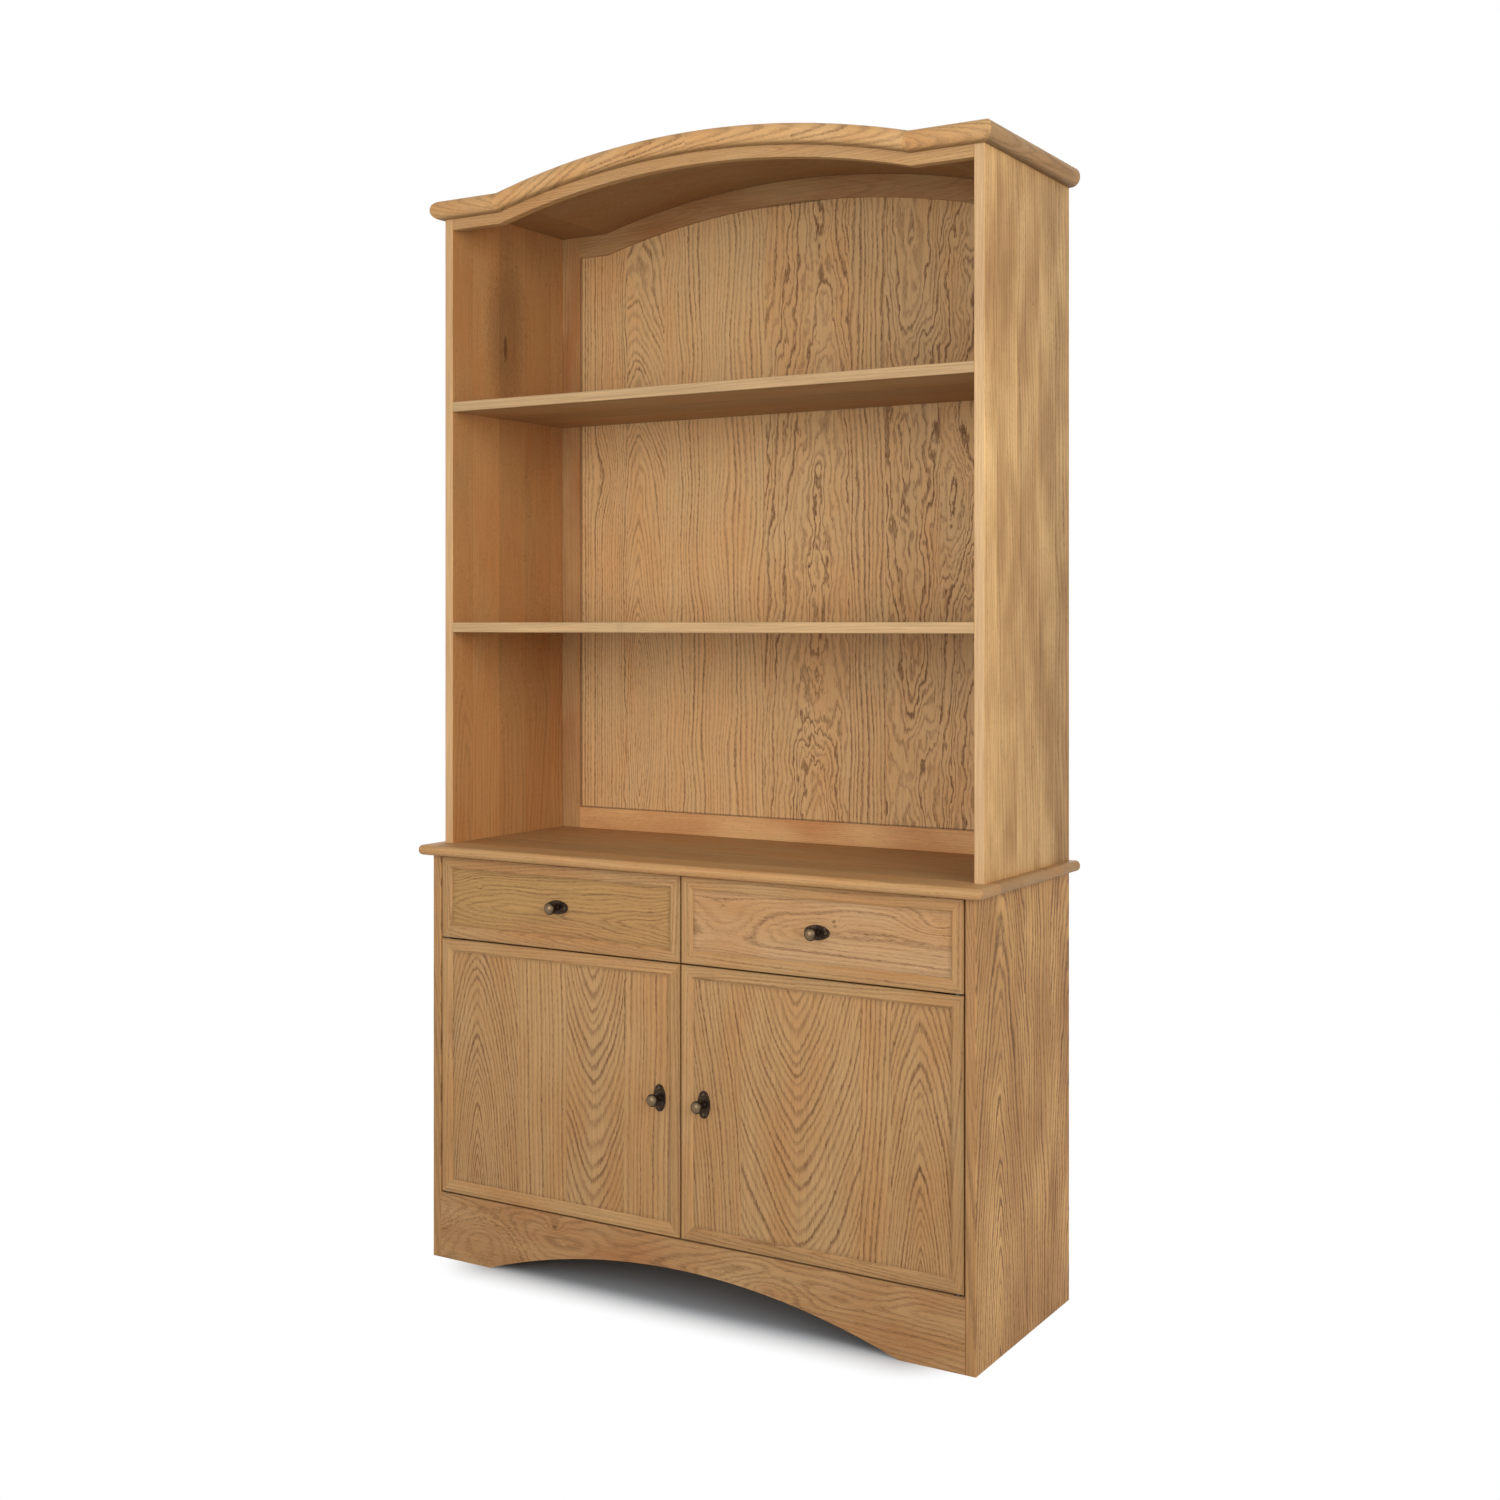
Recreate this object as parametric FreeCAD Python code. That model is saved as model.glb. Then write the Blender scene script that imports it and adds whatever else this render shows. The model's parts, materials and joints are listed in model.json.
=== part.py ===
import FreeCAD, Part
import math
import os

# Sideboard with an arched open hutch, in oak. Two inset drawers stand over two inset doors,
# an arched apron joins the feet, and the hutch above ends in an arched bullnose cornice.
# Millimetres, +Z up, the front faces -Y, and the origin is under the middle of the whole box.
Vector = FreeCAD.Vector

# Carcase shared by the base and the hutch, which stands flush over the base's sides
carcase_width = 1190.0
carcase_depth = 425.0
base_side_thickness = 20.0
arris_radius = 2.0
cut_overrun = 5.0
place_tolerance = 1e-6

# Worktop
worktop_height = 828.0
worktop_thickness = 20.0
worktop_side_overhang = 22.0
worktop_front_overhang = 26.0
worktop_corner_radius = 11.0
worktop_edge_radius = 9.6

# Apron and floor of the base
apron_height = 131.0
apron_thickness = 20.0
apron_foot_width = 125.0
apron_arch_rise = 75.0
apron_foot_radius = 14.0
floor_thickness = 18.0
floor_housing = 6.0
rear_rail_height = 50.0
rear_rail_thickness = 18.0
base_back_thickness = 6.0
base_back_rebate = 8.0

# Rails and divider behind the fronts
rail_setback = 28.0
rail_depth = 50.0
rail_thickness = 20.0
divider_thickness = 18.0
stretcher_thickness = 18.0

# Framed fronts of the doors and the drawers
front_gap = 3.0
front_thickness = 22.0
drawer_front_height = 161.0
frame_flat_width = 20.0
frame_bevel_width = 4.5
panel_recess = 4.0
panel_thickness = 8.0
panel_groove_depth = 7.0
panel_float = 1.0
front_ease_radius = 1.2

# Door pivots and their fit
pivot_edge_distance = 12.0
pivot_setback = 7.0
pin_radius = 3.0
pin_clearance = 0.05
pin_reach = 6.0
pin_bore_relief = 0.5
collar_radius = 5.5
seat_clearance = 0.3
leaf_thickness = 2.5
leaf_width = 10.0
leaf_length = 52.0
strap_thickness = 1.6
strap_clearance = 0.7
strap_width = 12.0
strap_bearing_length = 32.0
pivot_plate_thickness = 2.5
pivot_plate_length = 34.0

# Magnetic catches
catch_width = 20.0
catch_height = 13.0
catch_depth = 26.0
catch_edge_distance = 2.5
catch_ease = 1.5
strike_thickness = 1.2
strike_margin = 2.0

# Cupboard shelf on studs
inner_shelf_height = 380.0
inner_shelf_thickness = 18.0
inner_shelf_setback = 45.0
inner_shelf_clearance = 1.0
stud_radius = 2.5
stud_bore_depth = 9.0
stud_reach = 8.0
stud_front_inset = 90.0
stud_back_inset = 80.0

# Drawer boxes and their runners
drawer_side_gap = 3.0
drawer_board_thickness = 14.0
drawer_box_height = 118.0
drawer_box_lift = 6.0
drawer_box_length = 370.0
drawer_bottom_thickness = 6.0
drawer_bottom_lift = 10.0
drawer_bottom_groove = 6.0
runner_thickness = 9.0
runner_height = 18.0
runner_lift = 50.0
runner_front_distance = 60.0
runner_side_clearance = 1.0
runner_below_clearance = 0.7
drawer_stop_clearance = 0.5
tail_count = 3
tail_half_share = 1 / 3
tail_flare = 2.2

# Knobs and their oval plates
plate_length = 51.0
plate_width = 27.0
plate_thickness = 2.5
plate_end_radius = 9.0
plate_edge_radius = 1.4
knob_projection = 33.0
knob_head_radius = 12.0
knob_head_depth = 16.0
knob_rim_radius = 5.5
knob_neck_radius = 4.4
knob_foot_radius = 6.8
knob_foot_height = 2.5
door_knob_distance = 49.0

# Hutch
hutch_setback = 36.0
hutch_side_thickness = 20.0
hutch_opening_height = 1242.0
hutch_bay_height = 427.0
hutch_shelf_thickness = 20.0
shelf_housing = 6.0
shelf_notch = 12.0
cornice_shoulder_width = 140.0
arch_rise = 60.0
arch_rail_height = 46.0
front_rail_thickness = 20.0
roof_thickness = 14.0
cornice_height = 38.0
cornice_projection = 22.0
cornice_edge_radius = 18.0
cornice_least_flat = 0.2
cornice_segment_count = 4
back_frame_thickness = 20.0
back_stile_width = 47.0
back_rail_height = 45.0
back_panel_thickness = 6.0
back_panel_recess = 6.0
back_groove_depth = 8.0

# Steel plates that tie the hutch to the base at the back
tie_width = 14.0
tie_thickness = 2.0
tie_reach = 55.0

# Places worked out from the sizes
half_width = carcase_width / 2
base_inner = half_width - base_side_thickness
hutch_inner = half_width - hutch_side_thickness
apron_arch_half_chord = base_inner - apron_foot_width
arch_half_chord = half_width - cornice_shoulder_width
arch_radius = (arch_half_chord ** 2 + arch_rise ** 2) / (2 * arch_rise)
front_reach = max(worktop_front_overhang, knob_projection - panel_recess)
front_y = (front_reach - carcase_depth) / 2
back_y = front_y + carcase_depth
base_back_y = back_y - base_back_thickness
worktop_bottom = worktop_height - worktop_thickness
front_back_y = front_y + front_thickness
rail_front_y = front_y + rail_setback
rail_back_y = rail_front_y + rail_depth
door_bottom = apron_height + front_gap
drawer_top = worktop_bottom - front_gap
drawer_bottom = drawer_top - drawer_front_height
door_top = drawer_bottom - front_gap
rail_top = door_top + strap_clearance
floor_bottom = apron_height - floor_thickness
stretcher_bottom = worktop_bottom - stretcher_thickness
front_outer = base_inner - front_gap
front_inner = front_gap / 2
frame_sight_width = frame_flat_width + frame_bevel_width
panel_face_y = front_y + panel_recess
pivot_x = front_outer - pivot_edge_distance
pivot_y = front_y + pivot_setback
hutch_front_y = front_y + hutch_setback
back_frame_y = back_y - back_frame_thickness
shoulder_bottom = worktop_height + hutch_opening_height
roof_bottom = shoulder_bottom + arch_rail_height
roof_top = roof_bottom + roof_thickness
cornice_bottom = roof_top - cornice_height
lower_shelf_bottom = worktop_height + hutch_bay_height
upper_shelf_bottom = lower_shelf_bottom + hutch_shelf_thickness + hutch_bay_height


# Building helpers

def block(x0, x1, y0, y1, z0, z1):
    """A square-edged board between three pairs of limits."""
    return Part.makeBox(x1 - x0, y1 - y0, z1 - z0, Vector(x0, y0, z0))


def rod(centre, axis, radius, length):
    """A round pin that starts at centre and runs along axis."""
    return Part.makeCylinder(radius, length, centre, axis)


def mirrored(shape):
    """The same piece on the other side of the middle plane."""
    return shape.mirror(Vector(0, 0, 0), Vector(1, 0, 0))


def both_sides(shape):
    """A right-hand piece and its left-hand twin."""
    return [mirrored(shape), shape]


def lies_at(edge, axis, place):
    """True when the whole edge lies in the plane axis = place."""
    low = getattr(edge.BoundBox, axis + "Min")
    high = getattr(edge.BoundBox, axis + "Max")
    return abs(low - place) < place_tolerance and abs(high - place) < place_tolerance


def is_level(edge):
    """True when the whole edge lies at one height."""
    return edge.BoundBox.ZLength < place_tolerance


def eased(shape, radius, chosen):
    """The shape with a radius run along every edge that the test picks."""
    return shape.makeFillet(radius, [edge for edge in shape.Edges if chosen(edge)])


def prism_xz(points, y0, y1):
    """A closed outline of (x, z) points, extruded from y0 to y1."""
    corners = [Vector(x, y0, z) for x, z in points]
    outline = Part.makePolygon(corners + corners[:1])
    return Part.Face(outline).extrude(Vector(0, y1 - y0, 0))


def prism_xy(points, z0, z1):
    """A closed outline of (x, y) points, extruded from z0 to z1."""
    corners = [Vector(x, y, z0) for x, y in points]
    outline = Part.makePolygon(corners + corners[:1])
    return Part.Face(outline).extrude(Vector(0, 0, z1 - z0))


def prism_yz(points, x0, x1):
    """A closed outline of (y, z) points, extruded from x0 to x1."""
    corners = [Vector(x0, y, z) for y, z in points]
    outline = Part.makePolygon(corners + corners[:1])
    return Part.Face(outline).extrude(Vector(x1 - x0, 0, 0))


def line(start, end):
    return Part.LineSegment(start, end).toShape()


def arc(start, crown, end):
    return Part.Arc(start, crown, end).toShape()


def arch_height(x):
    """How far the arch of the hutch stands above its shoulders at x."""
    x = min(x, arch_half_chord)
    return arch_rise - arch_radius + math.sqrt(arch_radius ** 2 - x ** 2)


def arch_line(reach, base_z, y):
    """Edges from -reach to reach: the arch of the hutch, and its flat shoulders if it has ended."""
    spring_x = min(reach, arch_half_chord)
    left = Vector(-spring_x, y, base_z + arch_height(reach))
    crown = Vector(0, y, base_z + arch_rise)
    right = Vector(spring_x, y, base_z + arch_height(reach))
    edges = [arc(left, crown, right)]
    if reach > arch_half_chord:
        edges.insert(0, line(Vector(-reach, y, base_z), left))
        edges.append(line(right, Vector(reach, y, base_z)))
    return edges


def arched_board(reach, bottom_z, height, y0, y1):
    """A board whose two long edges both follow the arch of the hutch."""
    edges = arch_line(reach, bottom_z, y0) + arch_line(reach, bottom_z + height, y0)
    end_z = bottom_z + arch_height(reach)
    for x in (-reach, reach):
        edges.append(line(Vector(x, y0, end_z), Vector(x, y0, end_z + height)))
    outline = Part.Wire(Part.__sortEdges__(edges))
    return Part.Face(outline).extrude(Vector(0, y1 - y0, 0))


# Worktop and carcase of the base

def make_worktop():
    """The overhanging top, with a full bullnose along the front and both ends."""
    reach = half_width + worktop_side_overhang
    nose_y = front_y - worktop_front_overhang
    top = block(-reach, reach, nose_y, back_y, worktop_bottom, worktop_height)
    top = eased(top, worktop_corner_radius,
                lambda e: lies_at(e, "Y", nose_y) and not is_level(e))
    top = eased(top, worktop_edge_radius,
                lambda e: is_level(e) and not lies_at(e, "Y", back_y))
    return top.cut(make_tie_recesses())


def make_base_side():
    """The right side of the base, down to the floor, housed for its floor and back."""
    side = block(base_inner, half_width, front_y, back_y, 0, worktop_bottom)
    side = eased(side, arris_radius,
                 lambda e: lies_at(e, "Y", front_y) and e.BoundBox.ZLength > worktop_thickness)
    rebate = block(base_inner - cut_overrun, base_inner + base_back_rebate,
                   base_back_y, back_y + cut_overrun, floor_bottom, worktop_bottom + cut_overrun)
    housing = block(base_inner - cut_overrun, base_inner + floor_housing,
                    front_y + apron_thickness, base_back_y, floor_bottom, apron_height)
    side = side.cut(rebate).cut(housing)
    for stud in make_stud_places():
        side = side.cut(rod(Vector(base_inner, stud[0], stud[1]), Vector(1, 0, 0),
                            stud_radius, stud_bore_depth))
    return side.cut(make_tie_recesses())


def make_apron():
    """The front apron, cut to a low arch between two flat feet."""
    foot = line(Vector(-base_inner, front_y, 0), Vector(-apron_arch_half_chord, front_y, 0))
    other_foot = line(Vector(apron_arch_half_chord, front_y, 0), Vector(base_inner, front_y, 0))
    arch = arc(Vector(-apron_arch_half_chord, front_y, 0), Vector(0, front_y, apron_arch_rise),
               Vector(apron_arch_half_chord, front_y, 0))
    left_end = line(Vector(-base_inner, front_y, 0), Vector(-base_inner, front_y, apron_height))
    top = line(Vector(-base_inner, front_y, apron_height), Vector(base_inner, front_y, apron_height))
    right_end = line(Vector(base_inner, front_y, apron_height), Vector(base_inner, front_y, 0))
    outline = Part.Wire([foot, arch, other_foot, right_end, top, left_end])
    board = Part.Face(outline).extrude(Vector(0, apron_thickness, 0))
    board = eased(board, apron_foot_radius,
                  lambda e: abs(e.BoundBox.YLength - apron_thickness) < place_tolerance
                  and abs(abs(e.BoundBox.XMin) - apron_arch_half_chord) < place_tolerance)
    return board.cut(Part.makeCompound(both_sides(make_pivot_plate_bed())))


def make_base_floor():
    """The cupboard floor, housed in both sides behind the apron."""
    reach = base_inner + floor_housing
    board = block(-reach, reach, front_y + apron_thickness, base_back_y, floor_bottom, apron_height)
    return board.cut(Part.makeCompound(both_sides(make_pivot_plate_bed())))


def make_rear_rail():
    """The rail under the back edge of the cupboard floor."""
    return block(-base_inner, base_inner, base_back_y - rear_rail_thickness, base_back_y,
                 floor_bottom - rear_rail_height, floor_bottom)


def make_base_back():
    """The thin back of the base, let into the rebates of both sides."""
    reach = base_inner + base_back_rebate
    panel = block(-reach, reach, base_back_y, back_y, floor_bottom, worktop_bottom)
    return panel.cut(make_tie_recesses())


def make_drawer_rails():
    """The front and rear rails between the drawers and the cupboard."""
    front = block(-base_inner, base_inner, rail_front_y, rail_back_y, rail_top - rail_thickness, rail_top)
    rear = block(-base_inner, base_inner, base_back_y - rail_depth, base_back_y,
                 rail_top - rail_thickness, rail_top)
    return [front, rear]


def make_stretchers():
    """The front and rear stretchers that the worktop is screwed to."""
    front = block(-base_inner, base_inner, rail_front_y, rail_back_y, stretcher_bottom, worktop_bottom)
    rear = block(-base_inner, base_inner, base_back_y - rail_depth, base_back_y,
                 stretcher_bottom, worktop_bottom)
    return [front, rear]


def make_divider():
    """The upright partition between the two drawers."""
    half = divider_thickness / 2
    return block(-half, half, rail_front_y, base_back_y, rail_top, stretcher_bottom)


# Cupboard shelf, its studs and the catches

def make_stud_places():
    """The (y, z) places of the shelf studs in a side."""
    z = inner_shelf_height - stud_radius
    return [(front_y + stud_front_inset, z), (base_back_y - stud_back_inset, z)]


def make_studs():
    """The four studs that carry the cupboard shelf."""
    studs = []
    for y, z in make_stud_places():
        start = Vector(base_inner - stud_reach, y, z)
        studs += both_sides(rod(start, Vector(1, 0, 0), stud_radius, stud_reach + stud_bore_depth))
    return studs


def make_inner_shelf():
    """The loose shelf inside the cupboard."""
    reach = base_inner - inner_shelf_clearance
    return block(-reach, reach, front_y + inner_shelf_setback, base_back_y - inner_shelf_clearance,
                 inner_shelf_height, inner_shelf_height + inner_shelf_thickness)


def make_catch():
    """The right magnetic catch, hung under the front rail behind the meeting stile."""
    inner = front_inner + catch_edge_distance
    face_y = front_back_y + strike_thickness + seat_clearance
    top = rail_top - rail_thickness
    body = block(inner, inner + catch_width, face_y, face_y + catch_depth, top - catch_height, top)
    return eased(body, catch_ease, lambda e: lies_at(e, "Z", top - catch_height)
                 and not lies_at(e, "Y", face_y))


def make_strike():
    """The right door's steel strike, on the back of its meeting stile."""
    inner = front_inner + catch_edge_distance + strike_margin
    outer = front_inner + catch_edge_distance + catch_width - strike_margin
    top = rail_top - rail_thickness - strike_margin
    bottom = rail_top - rail_thickness - catch_height
    return block(inner, outer, front_back_y, front_back_y + strike_thickness, bottom, top)


# Door pivots

def make_pivot_plate_bed():
    """The space that the right lower pivot plate takes in the apron and the floor."""
    half = strap_width / 2
    start_y = pivot_y - half
    return block(pivot_x - half, pivot_x + half, start_y, start_y + pivot_plate_length,
                 apron_height - pivot_plate_thickness, apron_height)


def make_lower_pivot():
    """The right lower plate, with the collar and the pin that carry the door."""
    top = door_bottom + leaf_thickness + pin_reach
    collar_top = door_bottom - seat_clearance
    centre = Vector(pivot_x, pivot_y, apron_height - pivot_plate_thickness)
    collar = rod(centre, Vector(0, 0, 1), collar_radius, collar_top - centre.z)
    pin = rod(centre, Vector(0, 0, 1), pin_radius, top - centre.z)
    return make_pivot_plate_bed().fuse([collar, pin]).removeSplitter()


def make_upper_pivot():
    """The right upper strap, which reaches forward from the rail to its hanging pin."""
    half = strap_width / 2
    strap = block(pivot_x - half, pivot_x + half, pivot_y, rail_front_y + strap_bearing_length,
                  rail_top, rail_top + strap_thickness)
    nose = rod(Vector(pivot_x, pivot_y, rail_top), Vector(0, 0, 1), half, strap_thickness)
    bottom = door_top - leaf_thickness - pin_reach
    pin = rod(Vector(pivot_x, pivot_y, bottom), Vector(0, 0, 1), pin_radius, rail_top - bottom)
    return strap.fuse([nose, pin]).removeSplitter()


def make_leaf_bed(z0, z1):
    """The space of a leaf in the right door's end, from z0 to z1."""
    half = leaf_width / 2
    start = pivot_x + half
    return block(start - leaf_length, start, pivot_y - half, pivot_y + half, z0, z1)


def make_leaves():
    """The right door's upper and lower leaves, each bored for its pin."""
    leaves = []
    for z0 in (door_bottom, door_top - leaf_thickness):
        centre = Vector(pivot_x, pivot_y, z0)
        bore = rod(centre, Vector(0, 0, 1), pin_radius + pin_clearance, leaf_thickness)
        leaves.append(make_leaf_bed(z0, z0 + leaf_thickness).cut(bore))
    return leaves


def make_leaf_cuts():
    """What the leaves and the pin ends take out of the right door's frame."""
    depth = leaf_thickness + pin_reach + pin_bore_relief
    radius = pin_radius + pin_bore_relief
    low = rod(Vector(pivot_x, pivot_y, door_bottom), Vector(0, 0, 1), radius, depth)
    high = rod(Vector(pivot_x, pivot_y, door_top - depth), Vector(0, 0, 1), radius, depth)
    return Part.makeCompound([
        make_leaf_bed(door_bottom, door_bottom + leaf_thickness),
        make_leaf_bed(door_top - leaf_thickness, door_top),
        low, high])


# Framed fronts

def make_frame(x0, x1, z0, z1):
    """The mitred stiles and rails of a framed front, bevelled down to its panel."""
    frame = block(x0, x1, front_y, front_back_y, z0, z1)
    frame = eased(frame, front_ease_radius, lambda e: lies_at(e, "Y", front_y))

    def rim(inset, y):
        corners = [Vector(x0 + inset, y, z0 + inset), Vector(x1 - inset, y, z0 + inset),
                   Vector(x1 - inset, y, z1 - inset), Vector(x0 + inset, y, z1 - inset)]
        return Part.makePolygon(corners + corners[:1])

    rims = [rim(frame_flat_width, front_y), rim(frame_sight_width, panel_face_y)]
    bevel = Part.makeLoft(rims, True, True)
    sight = block(x0 + frame_sight_width, x1 - frame_sight_width, panel_face_y, front_back_y,
                  z0 + frame_sight_width, z1 - frame_sight_width)
    bed = frame_sight_width - panel_groove_depth
    groove = block(x0 + bed, x1 - bed, panel_face_y, panel_face_y + panel_thickness, z0 + bed, z1 - bed)
    frame = frame.cut(bevel).cut(sight).cut(groove)

    w = frame_sight_width
    stile_outlines = [
        [(x0, z0), (x0 + w, z0 + w), (x0 + w, z1 - w), (x0, z1)],
        [(x1, z0), (x1 - w, z0 + w), (x1 - w, z1 - w), (x1, z1)]]
    rail_outlines = [
        [(x0, z0), (x1, z0), (x1 - w, z0 + w), (x0 + w, z0 + w)],
        [(x0, z1), (x1, z1), (x1 - w, z1 - w), (x0 + w, z1 - w)]]
    stiles = [frame.common(prism_xz(outline, front_y, front_back_y)) for outline in stile_outlines]
    rails = [frame.common(prism_xz(outline, front_y, front_back_y)) for outline in rail_outlines]
    return stiles, rails


def make_panel(x0, x1, z0, z1):
    """The flat panel that floats in the grooves of a framed front."""
    inset = frame_sight_width - panel_groove_depth + panel_float
    return block(x0 + inset, x1 - inset, panel_face_y, panel_face_y + panel_thickness,
                 z0 + inset, z1 - inset)


# Knobs

def make_plate(x, z, upright):
    """The oval plate under a knob, upright on a door and level on a drawer."""
    half_length = plate_length / 2
    half_width_of_plate = plate_width / 2
    flank_radius = ((half_length ** 2 + half_width_of_plate ** 2 - 2 * half_length * plate_end_radius)
                    / (2 * (half_width_of_plate - plate_end_radius)))
    end_centre = half_length - plate_end_radius
    flank_centre = flank_radius - half_width_of_plate
    share = flank_radius / (flank_radius - plate_end_radius)
    join_x = end_centre * share
    join_z = flank_centre * share - flank_centre
    joins = [Vector(join_x, 0, join_z), Vector(-join_x, 0, join_z),
             Vector(-join_x, 0, -join_z), Vector(join_x, 0, -join_z)]
    outline = Part.Wire([
        arc(joins[0], Vector(0, 0, half_width_of_plate), joins[1]),
        arc(joins[1], Vector(-half_length, 0, 0), joins[2]),
        arc(joins[2], Vector(0, 0, -half_width_of_plate), joins[3]),
        arc(joins[3], Vector(half_length, 0, 0), joins[0])])
    plate = Part.Face(outline).extrude(Vector(0, -plate_thickness, 0))
    plate = eased(plate, plate_edge_radius, lambda e: lies_at(e, "Y", -plate_thickness))
    if upright:
        plate.rotate(Vector(0, 0, 0), Vector(0, 1, 0), 90)
    plate.translate(Vector(x, panel_face_y, z))
    return plate


def make_knob(x, z):
    """A turned knob: a flared foot, a waisted neck and a flattened round head."""
    foot_end = plate_thickness + knob_foot_height
    half_depth = knob_head_depth / 2
    head_middle = knob_projection - half_depth
    rim_centre = knob_head_radius - knob_rim_radius
    crown_radius = ((rim_centre ** 2 + half_depth ** 2 - knob_rim_radius ** 2)
                    / (2 * (half_depth - knob_rim_radius)))
    crown_centre = knob_projection - crown_radius
    crown_turn = math.asin(rim_centre / (crown_radius - knob_rim_radius))

    def on_crown(turn):
        return Vector(crown_radius * math.sin(turn), crown_centre + crown_radius * math.cos(turn), 0)

    neck_start = Vector(knob_foot_radius, foot_end, 0)
    neck_end = Vector(rim_centre, head_middle - knob_rim_radius, 0)
    neck_waist = Vector(knob_neck_radius, (neck_start.y + neck_end.y) / 2, 0)
    edges = [
        line(Vector(0, plate_thickness, 0), Vector(knob_foot_radius, plate_thickness, 0)),
        line(Vector(knob_foot_radius, plate_thickness, 0), neck_start),
        arc(neck_start, neck_waist, neck_end),
        arc(neck_end, Vector(knob_head_radius, head_middle, 0), on_crown(crown_turn)),
        arc(on_crown(crown_turn), on_crown(crown_turn / 2), on_crown(0)),
        line(on_crown(0), Vector(0, plate_thickness, 0))]
    half_section = Part.Face(Part.Wire(edges))
    knob = half_section.revolve(Vector(0, 0, 0), Vector(0, 1, 0), 360)
    knob.rotate(Vector(0, 0, 0), Vector(0, 0, 1), 180)
    knob.translate(Vector(x, panel_face_y, z))
    return knob


# Doors

def make_door():
    """The pieces of the right door, by name."""
    stiles, rails = make_frame(front_inner, front_outer, door_bottom, door_top)
    cuts = make_leaf_cuts()
    middle_z = (door_bottom + door_top) / 2
    return {
        "stiles": [stile.cut(cuts) for stile in stiles],
        "rails": [rail.cut(cuts) for rail in rails],
        "panel": [make_panel(front_inner, front_outer, door_bottom, door_top)],
        "knob_plate": [make_plate(door_knob_distance, middle_z, True)],
        "knob": [make_knob(door_knob_distance, middle_z)],
        "pivot_leaves": make_leaves(),
        "strike": [make_strike()]}


# Drawers

box_inner_x = divider_thickness / 2 + drawer_side_gap
box_outer_x = base_inner - drawer_side_gap
box_front_y = front_back_y
box_back_y = box_front_y + drawer_box_length
box_bottom_z = drawer_bottom + drawer_box_lift
box_top_z = box_bottom_z + drawer_box_height
runner_bottom_z = box_bottom_z + runner_lift
runner_top_z = runner_bottom_z + runner_height
runner_front_y = front_y + runner_front_distance


def make_tails(x0, x1, end_y, shoulder_y):
    """The dovetails of one drawer corner, wide at end_y and narrow at the shoulder."""
    pitch = drawer_box_height / tail_count
    tails = []
    for index in range(tail_count):
        middle = box_bottom_z + pitch * (index + 0.5)
        wide = pitch * tail_half_share
        narrow = wide - tail_flare
        outline = [(end_y, middle - wide), (end_y, middle + wide),
                   (shoulder_y, middle + narrow), (shoulder_y, middle - narrow)]
        tails.append(prism_yz(outline, x0, x1))
    return Part.makeCompound(tails)


def make_runner_way(x0, x1):
    """The groove in a drawer side, open at the back, that slides over its runner."""
    return block(x0, x1, runner_front_y - drawer_stop_clearance, box_back_y + cut_overrun,
                 runner_bottom_z - runner_below_clearance, runner_top_z + seat_clearance)


def make_drawer():
    """The pieces of the right drawer, by name."""
    board = drawer_board_thickness
    stiles, rails = make_frame(front_inner, front_outer, drawer_bottom, drawer_top)
    groove_depth = runner_thickness - drawer_side_gap + runner_side_clearance
    ways = [make_runner_way(box_inner_x - cut_overrun, box_inner_x + groove_depth),
            make_runner_way(box_outer_x - groove_depth, box_outer_x + cut_overrun)]
    bed_z = box_bottom_z + drawer_bottom_lift
    bed = block(box_inner_x + board - drawer_bottom_groove, box_outer_x - board + drawer_bottom_groove,
                box_front_y + board - drawer_bottom_groove, box_back_y - board + drawer_bottom_groove,
                bed_z, bed_z + drawer_bottom_thickness)

    side_limits = [(box_inner_x, box_inner_x + board), (box_outer_x - board, box_outer_x)]
    end_limits = [(box_front_y, box_front_y + board), (box_back_y, box_back_y - board)]
    sides = []
    for x0, x1 in side_limits:
        side = block(x0, x1, box_front_y, box_back_y, box_bottom_z, box_top_z)
        for end_y, shoulder_y in end_limits:
            corner = block(x0, x1, min(end_y, shoulder_y), max(end_y, shoulder_y), box_bottom_z, box_top_z)
            side = side.cut(corner.cut(make_tails(x0, x1, end_y, shoulder_y)))
        sides.append(side.cut(bed).cut(Part.makeCompound(ways)))
    ends = []
    for end_y, shoulder_y in end_limits:
        end = block(box_inner_x, box_outer_x, min(end_y, shoulder_y), max(end_y, shoulder_y),
                    box_bottom_z, box_top_z)
        for x0, x1 in side_limits:
            end = end.cut(make_tails(x0, x1, end_y, shoulder_y))
        ends.append(end.cut(bed).cut(Part.makeCompound(ways)))

    middle_x = (front_inner + front_outer) / 2
    middle_z = (drawer_bottom + drawer_top) / 2
    return {
        "front_frame": stiles + rails,
        "front_panel": [make_panel(front_inner, front_outer, drawer_bottom, drawer_top)],
        "box_sides": sides,
        "box_ends": ends,
        "box_bottom": [bed],
        "knob_plate": [make_plate(middle_x, middle_z, False)],
        "knob": [make_knob(middle_x, middle_z)]}


def make_runners():
    """The four runners, on the sides of the base and on both faces of the divider."""
    divider_face = divider_thickness / 2
    outer = block(base_inner - runner_thickness, base_inner, runner_front_y, base_back_y,
                  runner_bottom_z, runner_top_z)
    inner = block(divider_face, divider_face + runner_thickness, runner_front_y, base_back_y,
                  runner_bottom_z, runner_top_z)
    return both_sides(outer) + both_sides(inner)


# Hutch

def make_tie_recesses():
    """The beds of both tie plates in the back edges of the base, worktop and hutch."""
    return Part.makeCompound(both_sides(make_tie_plate()))


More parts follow.
